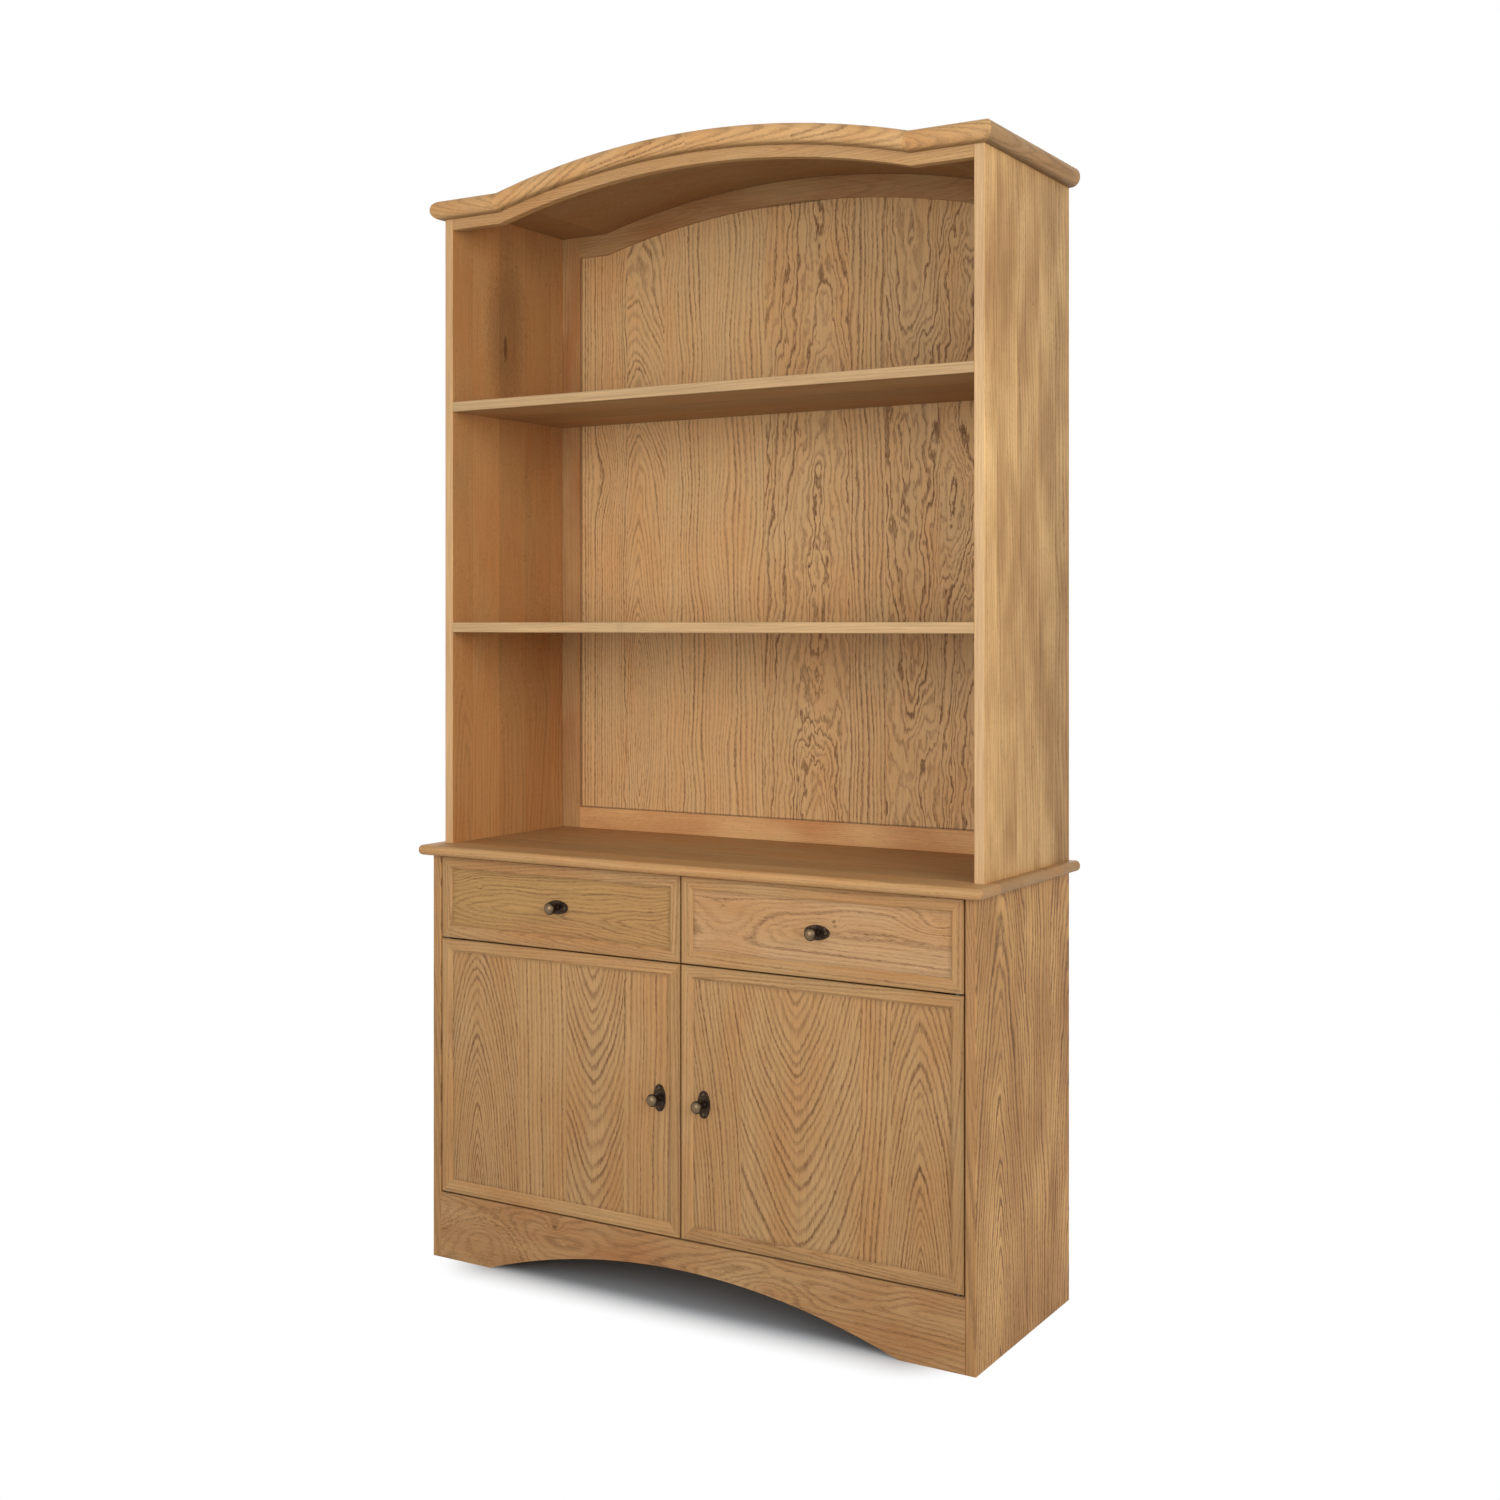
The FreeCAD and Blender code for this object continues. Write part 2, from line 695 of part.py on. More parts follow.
def make_tie_plate():
    """The right steel plate, let in across the joint of hutch, worktop and base."""
    middle_x = half_width - min(base_side_thickness, hutch_side_thickness) / 2
    return block(middle_x - tie_width / 2, middle_x + tie_width / 2, back_y - tie_thickness, back_y,
                 worktop_bottom - tie_reach, worktop_height + tie_reach)


def make_hutch_side():
    """The right side of the hutch, with stopped housings for its two shelves."""
    side = block(hutch_inner, half_width, hutch_front_y, back_y, worktop_height, roof_bottom)
    side = eased(side, arris_radius,
                 lambda e: lies_at(e, "Y", hutch_front_y) and e.BoundBox.ZLength > cornice_height)
    for bottom in (lower_shelf_bottom, upper_shelf_bottom):
        side = side.cut(block(hutch_inner - cut_overrun, hutch_inner + shelf_housing,
                              hutch_front_y + shelf_notch, back_frame_y,
                              bottom, bottom + hutch_shelf_thickness))
    return side.cut(make_tie_recesses())


def make_hutch_shelf(bottom):
    """A fixed shelf, notched at its front corners to hide its housings."""
    reach = hutch_inner + shelf_housing
    shelf = block(-reach, reach, hutch_front_y, back_frame_y, bottom, bottom + hutch_shelf_thickness)
    shelf = eased(shelf, arris_radius,
                  lambda e: lies_at(e, "Y", hutch_front_y) and e.BoundBox.XLength > hutch_inner)
    notch = block(hutch_inner, reach + cut_overrun, hutch_front_y - cut_overrun,
                  hutch_front_y + shelf_notch, bottom - cut_overrun,
                  bottom + hutch_shelf_thickness + cut_overrun)
    return shelf.cut(Part.makeCompound(both_sides(notch)))


def make_front_rail():
    """The arched rail over the hutch's opening."""
    return arched_board(hutch_inner, shoulder_bottom, arch_rail_height,
                        hutch_front_y, hutch_front_y + front_rail_thickness)


def make_roof():
    """The roof's bent middle board and the flat boards over both shoulders."""
    bent = arched_board(arch_half_chord, roof_bottom, roof_thickness, hutch_front_y, back_y)
    flat = block(arch_half_chord, half_width, hutch_front_y, back_y, roof_bottom, roof_top)
    return [bent] + both_sides(flat)


def make_back_panel(margin):
    """The hutch's back panel, reaching margin past the sight edge of its frame."""
    reach = hutch_inner - back_stile_width + margin
    bottom = worktop_height + back_rail_height - margin
    top = shoulder_bottom + margin
    y0 = back_frame_y + back_panel_recess
    end_z = top + arch_height(reach)
    upper = arch_line(reach, top, y0)
    sides = [line(Vector(x, y0, bottom), Vector(x, y0, end_z)) for x in (-reach, reach)]
    foot = line(Vector(-reach, y0, bottom), Vector(reach, y0, bottom))
    outline = Part.Wire(Part.__sortEdges__(upper + sides + [foot]))
    return Part.Face(outline).extrude(Vector(0, back_panel_thickness, 0))


def make_back_frame():
    """The stiles, the arched top rail and the bottom rail around the back panel."""
    groove = make_back_panel(back_groove_depth)
    sight = hutch_inner - back_stile_width
    stile = block(sight, hutch_inner, back_frame_y, back_y, worktop_height, roof_bottom).cut(groove)
    top_rail = arched_board(sight, shoulder_bottom, arch_rail_height, back_frame_y, back_y).cut(groove)
    bottom_rail = block(-sight, sight, back_frame_y, back_y,
                        worktop_height, worktop_height + back_rail_height).cut(groove)
    return both_sides(stile), top_rail, bottom_rail


def make_cornice():
    """The bullnose cornice: its arch, two mitred shoulders and two mitred returns."""
    nose_y = hutch_front_y - cornice_projection
    reach = half_width + cornice_projection
    end_turn = math.asin(arch_half_chord / arch_radius)
    least_height = cornice_height * math.cos(end_turn)
    edge_radius = min(cornice_edge_radius, (least_height - cornice_least_flat) / 2)

    def rounded(shape, axis, place):
        """Run the nose along the long upper and lower edges of the outer face."""
        return eased(shape, edge_radius,
                     lambda e: lies_at(e, axis, place)
                     and (is_level(e) or e.BoundBox.XLength > cornice_height))

    def segment_of(arch, index):
        """One of the sawn segments that the arch is built up from, between radial joints."""
        turns = [end_turn * (2 * step / cornice_segment_count - 1) for step in (index, index + 1)]
        centre_z = cornice_bottom + arch_rise - arch_radius
        reach = arch_radius + 2 * cornice_height
        outline = [(reach * math.sin(turn), centre_z + reach * math.cos(turn)) for turn in turns]
        return arch.common(prism_xz([(0, centre_z)] + outline, nose_y, hutch_front_y))

    arch = arched_board(arch_half_chord, cornice_bottom, cornice_height, nose_y, hutch_front_y)
    arch = rounded(arch, "Y", nose_y)
    segments = [segment_of(arch, index) for index in range(cornice_segment_count)]
    shoulder = rounded(block(arch_half_chord, reach, nose_y, hutch_front_y, cornice_bottom, roof_top),
                       "Y", nose_y)
    side_return = rounded(block(half_width, reach, nose_y, back_y, cornice_bottom, roof_top), "X", reach)
    inner_corner = (half_width, hutch_front_y)
    outer_corner = (reach, nose_y)
    behind_mitre = prism_xy([inner_corner, (reach, hutch_front_y), outer_corner], cornice_bottom, roof_top)
    before_mitre = prism_xy([inner_corner, outer_corner, (half_width, nose_y)], cornice_bottom, roof_top)
    return segments, both_sides(shoulder.cut(behind_mitre)), both_sides(side_return.cut(before_mitre))


# Every piece, by the name of its node

def make_pieces():
    """All the solids of the sideboard, listed under their node names."""
    base_side = make_base_side()
    hutch_side = make_hutch_side()
    back_stiles, back_top_rail, back_bottom_rail = make_back_frame()
    cornice_arch, cornice_shoulders, cornice_returns = make_cornice()
    pieces = {
        "base_side_left": [mirrored(base_side)],
        "base_side_right": [base_side],
        "arched_apron": [make_apron()],
        "base_floor": [make_base_floor()],
        "rear_rail": [make_rear_rail()],
        "base_back_panel": [make_base_back()],
        "drawer_rails": make_drawer_rails(),
        "drawer_divider": [make_divider()],
        "drawer_runners": make_runners(),
        "worktop_stretchers": make_stretchers(),
        "worktop": [make_worktop()],
        "inner_shelf": [make_inner_shelf()],
        "shelf_studs": make_studs(),
        "door_catches": both_sides(make_catch()),
        "upper_pivots": both_sides(make_upper_pivot()),
        "lower_pivots": both_sides(make_lower_pivot()),
        "hutch_tie_plates": both_sides(make_tie_plate()),
        "hutch_side_left": [mirrored(hutch_side)],
        "hutch_side_right": [hutch_side],
        "hutch_shelf_lower": [make_hutch_shelf(lower_shelf_bottom)],
        "hutch_shelf_upper": [make_hutch_shelf(upper_shelf_bottom)],
        "hutch_front_rail": [make_front_rail()],
        "hutch_roof": make_roof(),
        "hutch_back_stiles": back_stiles,
        "hutch_back_top_rail": [back_top_rail],
        "hutch_back_bottom_rail": [back_bottom_rail],
        "hutch_back_panel": [make_back_panel(back_groove_depth - panel_float)],
        "cornice_arch": cornice_arch,
        "cornice_shoulders": cornice_shoulders,
        "cornice_returns": cornice_returns}
    for family, right_hand in (("door", make_door()), ("drawer", make_drawer())):
        for name, solids in right_hand.items():
            pieces[family + "_right_" + name] = solids
            pieces[family + "_left_" + name] = [mirrored(solid) for solid in solids]
    return pieces


os.makedirs("parts", exist_ok=True)
for node, solids in make_pieces().items():
    shape = solids[0] if len(solids) == 1 else Part.makeCompound(solids)
    shape.exportStep(os.path.join("parts", node + ".step"))
    print(node, len(shape.Solids), "valid" if shape.isValid() else "NOT VALID", round(shape.Volume))
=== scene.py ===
"""A sideboard with a hutch, in light oak with antique bronze knobs.

The packed model gives every piece its place. Here the boards get rounded arrises and
their own grain, the fittings their screws, and the metal its worn finish.
"""

import json
import logging
import math
from abc import ABC, abstractmethod
from collections.abc import Callable, Sequence
from dataclasses import dataclass
from enum import Enum
from typing import Any, NamedTuple

import bmesh
import bpy
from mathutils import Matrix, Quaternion, Vector

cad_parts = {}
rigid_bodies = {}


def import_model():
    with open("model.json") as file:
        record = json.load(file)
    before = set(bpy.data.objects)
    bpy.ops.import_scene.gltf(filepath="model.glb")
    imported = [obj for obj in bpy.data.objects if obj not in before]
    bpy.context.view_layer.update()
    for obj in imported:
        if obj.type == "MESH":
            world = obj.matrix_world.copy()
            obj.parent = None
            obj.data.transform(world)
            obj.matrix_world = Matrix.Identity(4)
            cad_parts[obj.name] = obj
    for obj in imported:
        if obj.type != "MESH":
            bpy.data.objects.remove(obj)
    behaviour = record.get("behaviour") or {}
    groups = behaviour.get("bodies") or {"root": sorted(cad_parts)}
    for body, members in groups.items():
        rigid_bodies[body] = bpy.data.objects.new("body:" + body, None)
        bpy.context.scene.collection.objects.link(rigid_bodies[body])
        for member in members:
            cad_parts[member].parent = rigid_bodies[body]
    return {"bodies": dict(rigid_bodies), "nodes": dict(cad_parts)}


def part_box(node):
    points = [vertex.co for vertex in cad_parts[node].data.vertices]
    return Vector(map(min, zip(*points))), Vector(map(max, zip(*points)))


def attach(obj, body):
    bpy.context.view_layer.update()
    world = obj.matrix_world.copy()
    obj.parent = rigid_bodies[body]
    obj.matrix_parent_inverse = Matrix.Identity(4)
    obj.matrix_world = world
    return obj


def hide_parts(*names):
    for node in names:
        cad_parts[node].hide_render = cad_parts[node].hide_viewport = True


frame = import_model()

LOG = logging.getLogger("sideboard")
MILLIMETRES = 1000.0
MILLIMETRE = 1.0 / MILLIMETRES
WHITE = (1.0, 1.0, 1.0, 1.0)
UP = Vector((0.0, 0.0, 1.0))
FRONT = (0.0, -1.0, 0.0)
BACK = (0.0, 1.0, 0.0)

Colour = tuple[float, float, float, float]
Place = tuple[float, float, float]


def paint(red: int, green: int, blue: int) -> Colour:
    """Turn a colour as a screen shows it into light.

    Args:
        red: Red, 0 to 255.
        green: Green, 0 to 255.
        blue: Blue, 0 to 255.

    Returns:
        The colour in linear light, with full alpha.
    """

    def linear(level: int) -> float:
        """Undo the screen's curve for one level."""
        share = level / 255.0
        if share <= 0.04045:
            return share / 12.92
        return ((share + 0.055) / 1.055) ** 2.4

    return (linear(red), linear(green), linear(blue), 1.0)


class Axis(Enum):
    """An axis of the room."""

    X = 0
    Y = 1
    Z = 2


class Side(Enum):
    """A side of the sideboard, with the sign of its x."""

    LEFT = -1
    RIGHT = 1

    @property
    def word(self) -> str:
        """The side's name in the names of pieces."""
        return self.name.lower()


# Shader graphs


def operation(kind: str, meaning: str, turned: bool = False) -> Callable[..., "Signal"]:
    """A method of Signal that adds a Math node.

    Args:
        kind: The node's operation.
        meaning: What it gives, as the method's docstring.
        turned: Whether the signal comes after the other value.

    Returns:
        The method.
    """

    def method(self: "Signal", *others: "Signal | float") -> "Signal":
        """Add the node after a signal and what is given with it."""
        values = (*others, self) if turned else (self, *others)
        return self.graph.node("ShaderNodeMath", {"operation": kind}, dict(enumerate(values)))

    method.__doc__ = meaning
    return method


class Signal:
    """A node's output that can be used in sums."""

    def __init__(self, graph: "Graph", socket: bpy.types.NodeSocket) -> None:
        """Wrap a socket of a graph."""
        self.graph = graph
        self.socket = socket

    __add__ = operation("ADD", "The sum.")
    __sub__ = operation("SUBTRACT", "The difference.")
    __rsub__ = operation("SUBTRACT", "The difference from a number.", turned=True)
    __mul__ = operation("MULTIPLY", "The product.")
    __truediv__ = operation("DIVIDE", "The quotient.")
    __pow__ = operation("POWER", "The power.")
    magnitude = operation("ABSOLUTE", "The value without its sign.")
    whole = operation("FLOOR", "The whole number below.")
    part = operation("FRACT", "What is left over the whole number below.")
    root = operation("SQRT", "The square root.")
    sine = operation("SINE", "The sine of an angle.")
    cosine = operation("COSINE", "The cosine of an angle.")
    angle = operation("ARCTAN2", "The angle whose tangent is this over another.")
    least = operation("MINIMUM", "The lower of the two.")
    most = operation("MAXIMUM", "The higher of the two.")
    over = operation("GREATER_THAN", "1 where this is the greater, else 0.")

    def other(self, name: str) -> "Signal":
        """Another output of the same node."""
        return Signal(self.graph, self.socket.node.outputs[name])

    def span(self, low: float, high: float) -> "Signal":
        """Spread what runs from 0 to 1 over another range."""
        return self * (high - low) + low

    def rise(self, low: float, high: float) -> "Signal":
        """Ease from 0 to 1 between two values."""
        settings = {"interpolation_type": "SMOOTHSTEP"}
        values = {"Value": self, "From Min": low, "From Max": high}
        return self.graph.node("ShaderNodeMapRange", settings, values)


Value = Signal | float | Colour | Place


class Graph:
    """A node tree that is built through one method."""

    def __init__(self, tree: bpy.types.NodeTree) -> None:
        """Clear a tree and take it."""
        self.tree = tree
        tree.nodes.clear()

    def node(
        self, kind: str, settings: dict[str, Any], values: dict[Any, Value], output: Any = 0
    ) -> Signal:
        """Add a node.

        Args:
            kind: The node's type.
            settings: Its properties, and a ramp's stops and steps.
            values: Numbers, colours or signals, by the socket's name or place.
            output: The output that is wanted.

        Returns:
            That output.
        """
        made = self.tree.nodes.new(kind)
        for name, setting in settings.items():
            if name == "stops":
                self._fill_ramp(made.color_ramp, setting)
            elif name == "steps":
                made.color_ramp.interpolation = setting
            else:
                setattr(made, name, setting)
        for name, value in values.items():
            if isinstance(value, Signal):
                self.tree.links.new(value.socket, made.inputs[name])
            else:
                made.inputs[name].default_value = value
        return Signal(self, made.outputs[output] if len(made.outputs) else made.inputs[0])

    @staticmethod
    def _fill_ramp(ramp: bpy.types.ColorRamp, stops: Sequence[tuple[float, Colour]]) -> None:
        """Give a ramp its stops, in their order."""
        while len(ramp.elements) < len(stops):
            ramp.elements.new(1.0)
        for element, (position, colour) in zip(ramp.elements, stops):
            element.position = position
            element.color = colour

    def object_place(self) -> tuple[Signal, Signal, Signal]:
        """The point's x, y and z on the object, in millimetres."""
        place = self.node("ShaderNodeTexCoord", {}, {}, "Object")
        values = {0: place, "Scale": MILLIMETRES}
        scaled = self.node("ShaderNodeVectorMath", {"operation": "SCALE"}, values)
        apart = self.node("ShaderNodeSeparateXYZ", {}, {0: scaled})
        return apart, apart.other("Y"), apart.other("Z")

    def noise(
        self, x: Value, y: Value, z: Value, detail: float = 2.0, roughness: float = 0.5
    ) -> Signal:
        """Smooth noise at a place given in its own steps.

        Args:
            x: First coordinate.
            y: Second coordinate.
            z: Third coordinate.
            detail: Number of finer layers.
            roughness: Weight of the finer layers.

        Returns:
            A value round one half.
        """
        place = self.node("ShaderNodeCombineXYZ", {}, {0: x, 1: y, 2: z})
        values = {"Vector": place, "Scale": 1.0, "Detail": detail, "Roughness": roughness}
        return self.node("ShaderNodeTexNoise", {}, values)

    def chance(self, value: Signal) -> Signal:
        """A random value and colour for each number."""
        settings = {"noise_dimensions": "1D"}
        return self.node("ShaderNodeTexWhiteNoise", settings, {"W": value}, "Value")

    def blend(self, share: Value, first: Value, second: Value) -> Signal:
        """Mix two colours.

        Args:
            share: How much of the second.
            first: The first colour.
            second: The second colour.

        Returns:
            The mixed colour.
        """
        settings = {"data_type": "RGBA", "blend_type": "MIX"}
        return self.node("ShaderNodeMix", settings, {0: share, 6: first, 7: second}, 2)

    def shade(self, colour: Signal | Colour, level: Signal) -> Signal:
        """A colour made darker or lighter."""
        base = colour if isinstance(colour, Signal) else colour[:3]
        values = {0: base, "Scale": level}
        return self.node("ShaderNodeVectorMath", {"operation": "SCALE"}, values)

    def bump(self, height: Signal, depth: float, strength: float) -> Signal:
        """A normal from a height.

        Args:
            height: The height, 0 to 1.
            depth: What a height of 1 is, in metres.
            strength: How much of it shows.

        Returns:
            The bent normal.
        """
        values = {"Height": height, "Distance": depth, "Strength": strength}
        return self.node("ShaderNodeBump", {}, values)


class Finish(ABC):
    """A finish that can be put on a piece."""

    @abstractmethod
    def surface(self, graph: Graph) -> dict[str, Value]:
        """The shader's values and signals, by socket."""

    def material(self, name: str) -> bpy.types.Material:
        """Make the material of one piece.

        Args:
            name: The piece's name.

        Returns:
            The material.
        """
        made = bpy.data.materials.new("finish_" + name)
        made.use_nodes = True
        graph = Graph(made.node_tree)
        shader = graph.node("ShaderNodeBsdfPrincipled", {}, self.surface(graph))
        graph.node("ShaderNodeOutputMaterial", {}, {"Surface": shader})
        return made


# Grain


class Texture(NamedTuple):
    """Noise: the size of its spots in millimetres, and its finer layers and their weight."""

    across: float
    along: float
    deep: float
    detail: float = 2.0
    roughness: float = 0.5


class Grain(NamedTuple):
    """A point's place in its board, in millimetres."""

    across: Signal
    along: Signal
    deep: Signal

    def noise(self, texture: Texture, luck: Signal | float = 0.0) -> Signal:
        """Noise at this place.

        Args:
            texture: Its sizes and layers.
            luck: Moves it from leaf to leaf.

        Returns:
            A value round one half.
        """
        across, along = self.across / texture.across, self.along / texture.along
        deep = self.deep / texture.deep + luck
        return self.deep.graph.noise(across, along, deep, texture.detail, texture.roughness)


class Run(Enum):
    """The axis of a board's grain, and the axis that its face looks along."""

    SHELF = (Axis.X, Axis.Z)
    RAIL = (Axis.X, Axis.Y)
    STILE = (Axis.Z, Axis.Y)
    SIDE = (Axis.Z, Axis.X)
    RUNNER = (Axis.Y, Axis.X)


class GrainMap(ABC):
    """How a piece's grain runs."""

    @abstractmethod
    def grain(self, graph: Graph) -> Grain:
        """The point's place in its board."""


def middle(node: str) -> Place:
    """The centre of a node's box, in millimetres."""
    low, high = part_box(node)
    return tuple((low[n] + high[n]) / 2.0 * MILLIMETRES for n in range(3))


def extent(node: str) -> Place:
    """The size of a node's box, in millimetres."""
    low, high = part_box(node)
    return tuple((high[n] - low[n]) * MILLIMETRES for n in range(3))


@dataclass(frozen=True)
class StraightGrain(GrainMap):
    """Grain along one axis.

    Attributes:
        node: The node whose box centres the grain.
        run: How it runs.
        tilt: How far the grain leans from its axis, in degrees.
    """

    node: str
    run: Run
    tilt: float = 0.0

    def grain(self, graph: Graph) -> Grain:
        """The point's place, measured from the box's centre."""
        centre = middle(self.node)
        place = [value - offset for value, offset in zip(graph.object_place(), centre)]
        along_axis, face_axis = (axis.value for axis in self.run.value)
        across, along = place[3 - along_axis - face_axis], place[along_axis]
        if self.tilt:
            cosine = math.cos(math.radians(self.tilt))
            sine = math.sin(math.radians(self.tilt))
            across, along = across * cosine - along * sine, across * sine + along * cosine
        return Grain(across, along, place[face_axis])


@dataclass(frozen=True)
class MitredGrain(GrainMap):
    """Grain of a mitred frame in one node, seen from the front.

    Attributes:
        node: The frame's node.
    """

    node: str

    def grain(self, graph: Graph) -> Grain:
        """Upright in the stiles, level in the rails."""
        place = zip(graph.object_place(), middle(self.node))
        x, y, z = (value - offset for value, offset in place)
        width, _, height = extent(self.node)
        stile = (x.magnitude() - width / 2.0).over(z.magnitude() - height / 2.0)
        across = z + (x - z) * stile
        along = x + (z - x) * stile
        return Grain(across, along, y)


@dataclass(frozen=True)
class ArchGrain(GrainMap):
    """Straight-grained segments along an arch.

    Attributes:
        radius: The arch's radius.
        crown: Height of its top.
        half_chord: Half the arch's width.
        segments: Number of segments.
        lean: How far the grain leans from each segment's own line, in degrees.
    """

    radius: float
    crown: float
    half_chord: float
    segments: int
    lean: float

    def grain(self, graph: Graph) -> Grain:
        """The point's place in its segment."""
        x, y, z = graph.object_place()
        height = z - (self.crown - self.radius)
        span = 2.0 * math.asin(self.half_chord / self.radius) / self.segments
        segment = (x.angle(height) / span).whole() + 0.5
        angle = segment * span + math.radians(self.lean)
        sine, cosine = angle.sine(), angle.cosine()
        along = x * cosine - height * sine
        across = x * sine + height * cosine - self.radius
        return Grain(across + segment * self.radius, along, y)


class Figure(NamedTuple):
    """What a leaf or a stave shows: its heart's place, lean and depth, and its own number."""

    offset: Signal
    slope: Signal
    depth: Signal
    chance: Signal
    local: Signal
    joint: Signal | float = 0.0


@dataclass(frozen=True)
class Staves:
    """Boards of one width, side by side, each cut from another place of a trunk.

    Attributes:
        width: Width of a stave.
        seed: Chooses the staves.
        heart_span: How far the heart may lie to a side.
        slope_span: The steepest lean of the heart to the face.
        depth_least: Least depth of the heart under the face.
        depth_span: How much deeper it may lie.
        shift: Place of the joints, as a share of the width.
        joint: How dark the joints are.
    """

    width: float
    seed: float
    heart_span: float = 60.0
    slope_span: float = 0.09
    depth_least: float = 18.0
    depth_span: float = 90.0
    shift: float = 0.5
    joint: float = 0.0

    JOINT_EDGE = (0.1, 0.7)

    def figure(self, graph: Graph, across: Signal) -> Figure:
        """What the stave at this place shows."""
        place = across / self.width + self.shift
        stave = place.whole()
        drawn = graph.chance(stave + self.seed)
        parts = graph.node("ShaderNodeSeparateColor", {}, {0: drawn.other("Color")})
        offset = (parts - 0.5) * (2.0 * self.heart_span)
        slope = (parts.other("Green") - 0.5) * (2.0 * self.slope_span)
        depth = parts.other("Blue") * self.depth_span + self.depth_least
        local = (place - stave - 0.5) * self.width
        edge = self.width / 2.0 - local.magnitude()
        joint = (1.0 - edge.rise(*self.JOINT_EDGE)) * self.joint
        return Figure(offset, slope, depth, drawn, local, joint)


class Leaf(NamedTuple):
    """One leaf of veneer: where it ends, its heart's place, lean and depth, its own number."""

    end: float
    heart: float
    slope: float
    depth: float
    chance: float


@dataclass(frozen=True)
class Veneer:
    """A panel's leaves of veneer, from its left edge to its right.

    Attributes:
        width: The panel's width.
        leaves: The leaves.
    """

    width: float
    leaves: tuple[Leaf, ...]

    HEART_SPAN = 400.0
    SLOPE_SPAN = 0.5
    DEPTH_SPAN = 250.0

    def figure(self, graph: Graph, across: Signal) -> Figure:
        """What the leaf at this place shows."""
        share = across / self.width + 0.5
        starts = [0.0] + [leaf.end for leaf in self.leaves[:-1]]
        stops = [(start, self._code(leaf)) for start, leaf in zip(starts, self.leaves)]
        settings = {"steps": "CONSTANT", "stops": stops}
        ramp = graph.node("ShaderNodeValToRGB", settings, {0: share})
        parts = graph.node("ShaderNodeSeparateColor", {}, {0: ramp})
        offset = (parts - 0.5) * (2.0 * self.HEART_SPAN)
        slope = (parts.other("Green") - 0.5) * (2.0 * self.SLOPE_SPAN)
        depth = parts.other("Blue") * self.DEPTH_SPAN
        return Figure(offset, slope, depth, ramp.other("Alpha"), across)

    def _code(self, leaf: Leaf) -> Colour:
        """A leaf's numbers as a colour between 0 and 1."""
        heart = (leaf.heart - 0.5) * self.width
        return (
            0.5 + heart / (2.0 * self.HEART_SPAN),
            0.5 + leaf.slope / (2.0 * self.SLOPE_SPAN),
            leaf.depth / self.DEPTH_SPAN,
            leaf.chance,
        )


LEFT_DOOR_LEAVES = (
    Leaf(0.32, 0.13, 0.15, 52.0, 0.42),
    Leaf(0.54, -0.25, 0.03, 60.0, 0.62),
    Leaf(0.79, 0.655, -0.135, 112.0, 0.40),
    Leaf(1.0, 0.30, -0.02, 90.0, 0.66),
)
RIGHT_DOOR_LEAVES = (
    Leaf(0.20, -0.20, 0.14, 60.0, 0.35),
    Leaf(0.66, 0.42, -0.17, 120.0, 0.50),
    Leaf(0.77, 0.22, -0.05, 120.0, 0.66),
    Leaf(1.0, 0.88, 0.13, 62.0, 0.30),
)
BASE_SIDE_LEAVES = (
    Leaf(0.50, 0.24, 0.10, 55.0, 0.50),
    Leaf(0.78, 0.30, 0.03, 90.0, 0.62),
    Leaf(1.0, 1.02, 0.07, 70.0, 0.45),
)
HUTCH_SIDE_LEAVES = (
    Leaf(0.13, -0.60, 0.02, 90.0, 0.90),
    Leaf(0.36, 0.90, -0.02, 120.0, 0.74),
    Leaf(0.62, -0.30, 0.02, 130.0, 0.52),
    Leaf(0.82, 1.40, -0.01, 110.0, 0.26),
    Leaf(1.0, 0.10, 0.02, 140.0, 0.12),
)
HUTCH_BACK_LEAVES = (
    Leaf(0.120, 0.066, 0.0, 34.0, 0.62),
    Leaf(0.210, 0.150, 0.13, 60.0, 0.74),
    Leaf(0.440, -0.10, 0.02, 70.0, 0.72),
    Leaf(0.625, 0.560, 0.04, 105.0, 0.34),
    Leaf(0.700, 0.300, 0.03, 60.0, 0.36),
    Leaf(0.810, 0.750, -0.04, 90.0, 0.28),
    Leaf(1.0, 0.880, 0.04, 95.0, 0.16),
)


# Finishes


class Knot(NamedTuple):
    """A knot or an eye in the grain.

    Attributes:
        across: Its place across the board.
        along: Its place along the board.
        radius: Its radius.
        dark: How dark it is, 0 for an eye.
        stretch: How long it is for its width.
    """

    across: float
    along: float
    radius: float
    dark: float = 0.8
    stretch: float = 1.5


class Lip(NamedTuple):
    """The strip of another wood along a board's front edge: its end, colour and share."""

    end: float
    colour: Colour
    share: float


class PaintedFootShade(NamedTuple):
    """Dark glaze left where a moulding meets its rail.

    Attributes:
        centre: Height of the arch's centre, or None for a straight moulding.
        start: Where the glaze is full, from the centre or from the floor.
        reach: How far it reaches from there.
        shade: How dark it is.
    """

    centre: float | None
    start: float
    reach: float = 5.5
    shade: float = 0.45


class Rim(NamedTuple):
    """A band along a front's border: its box, its start and end inside it, its shade."""

    node: str
    start: float
    end: float
    shade: float


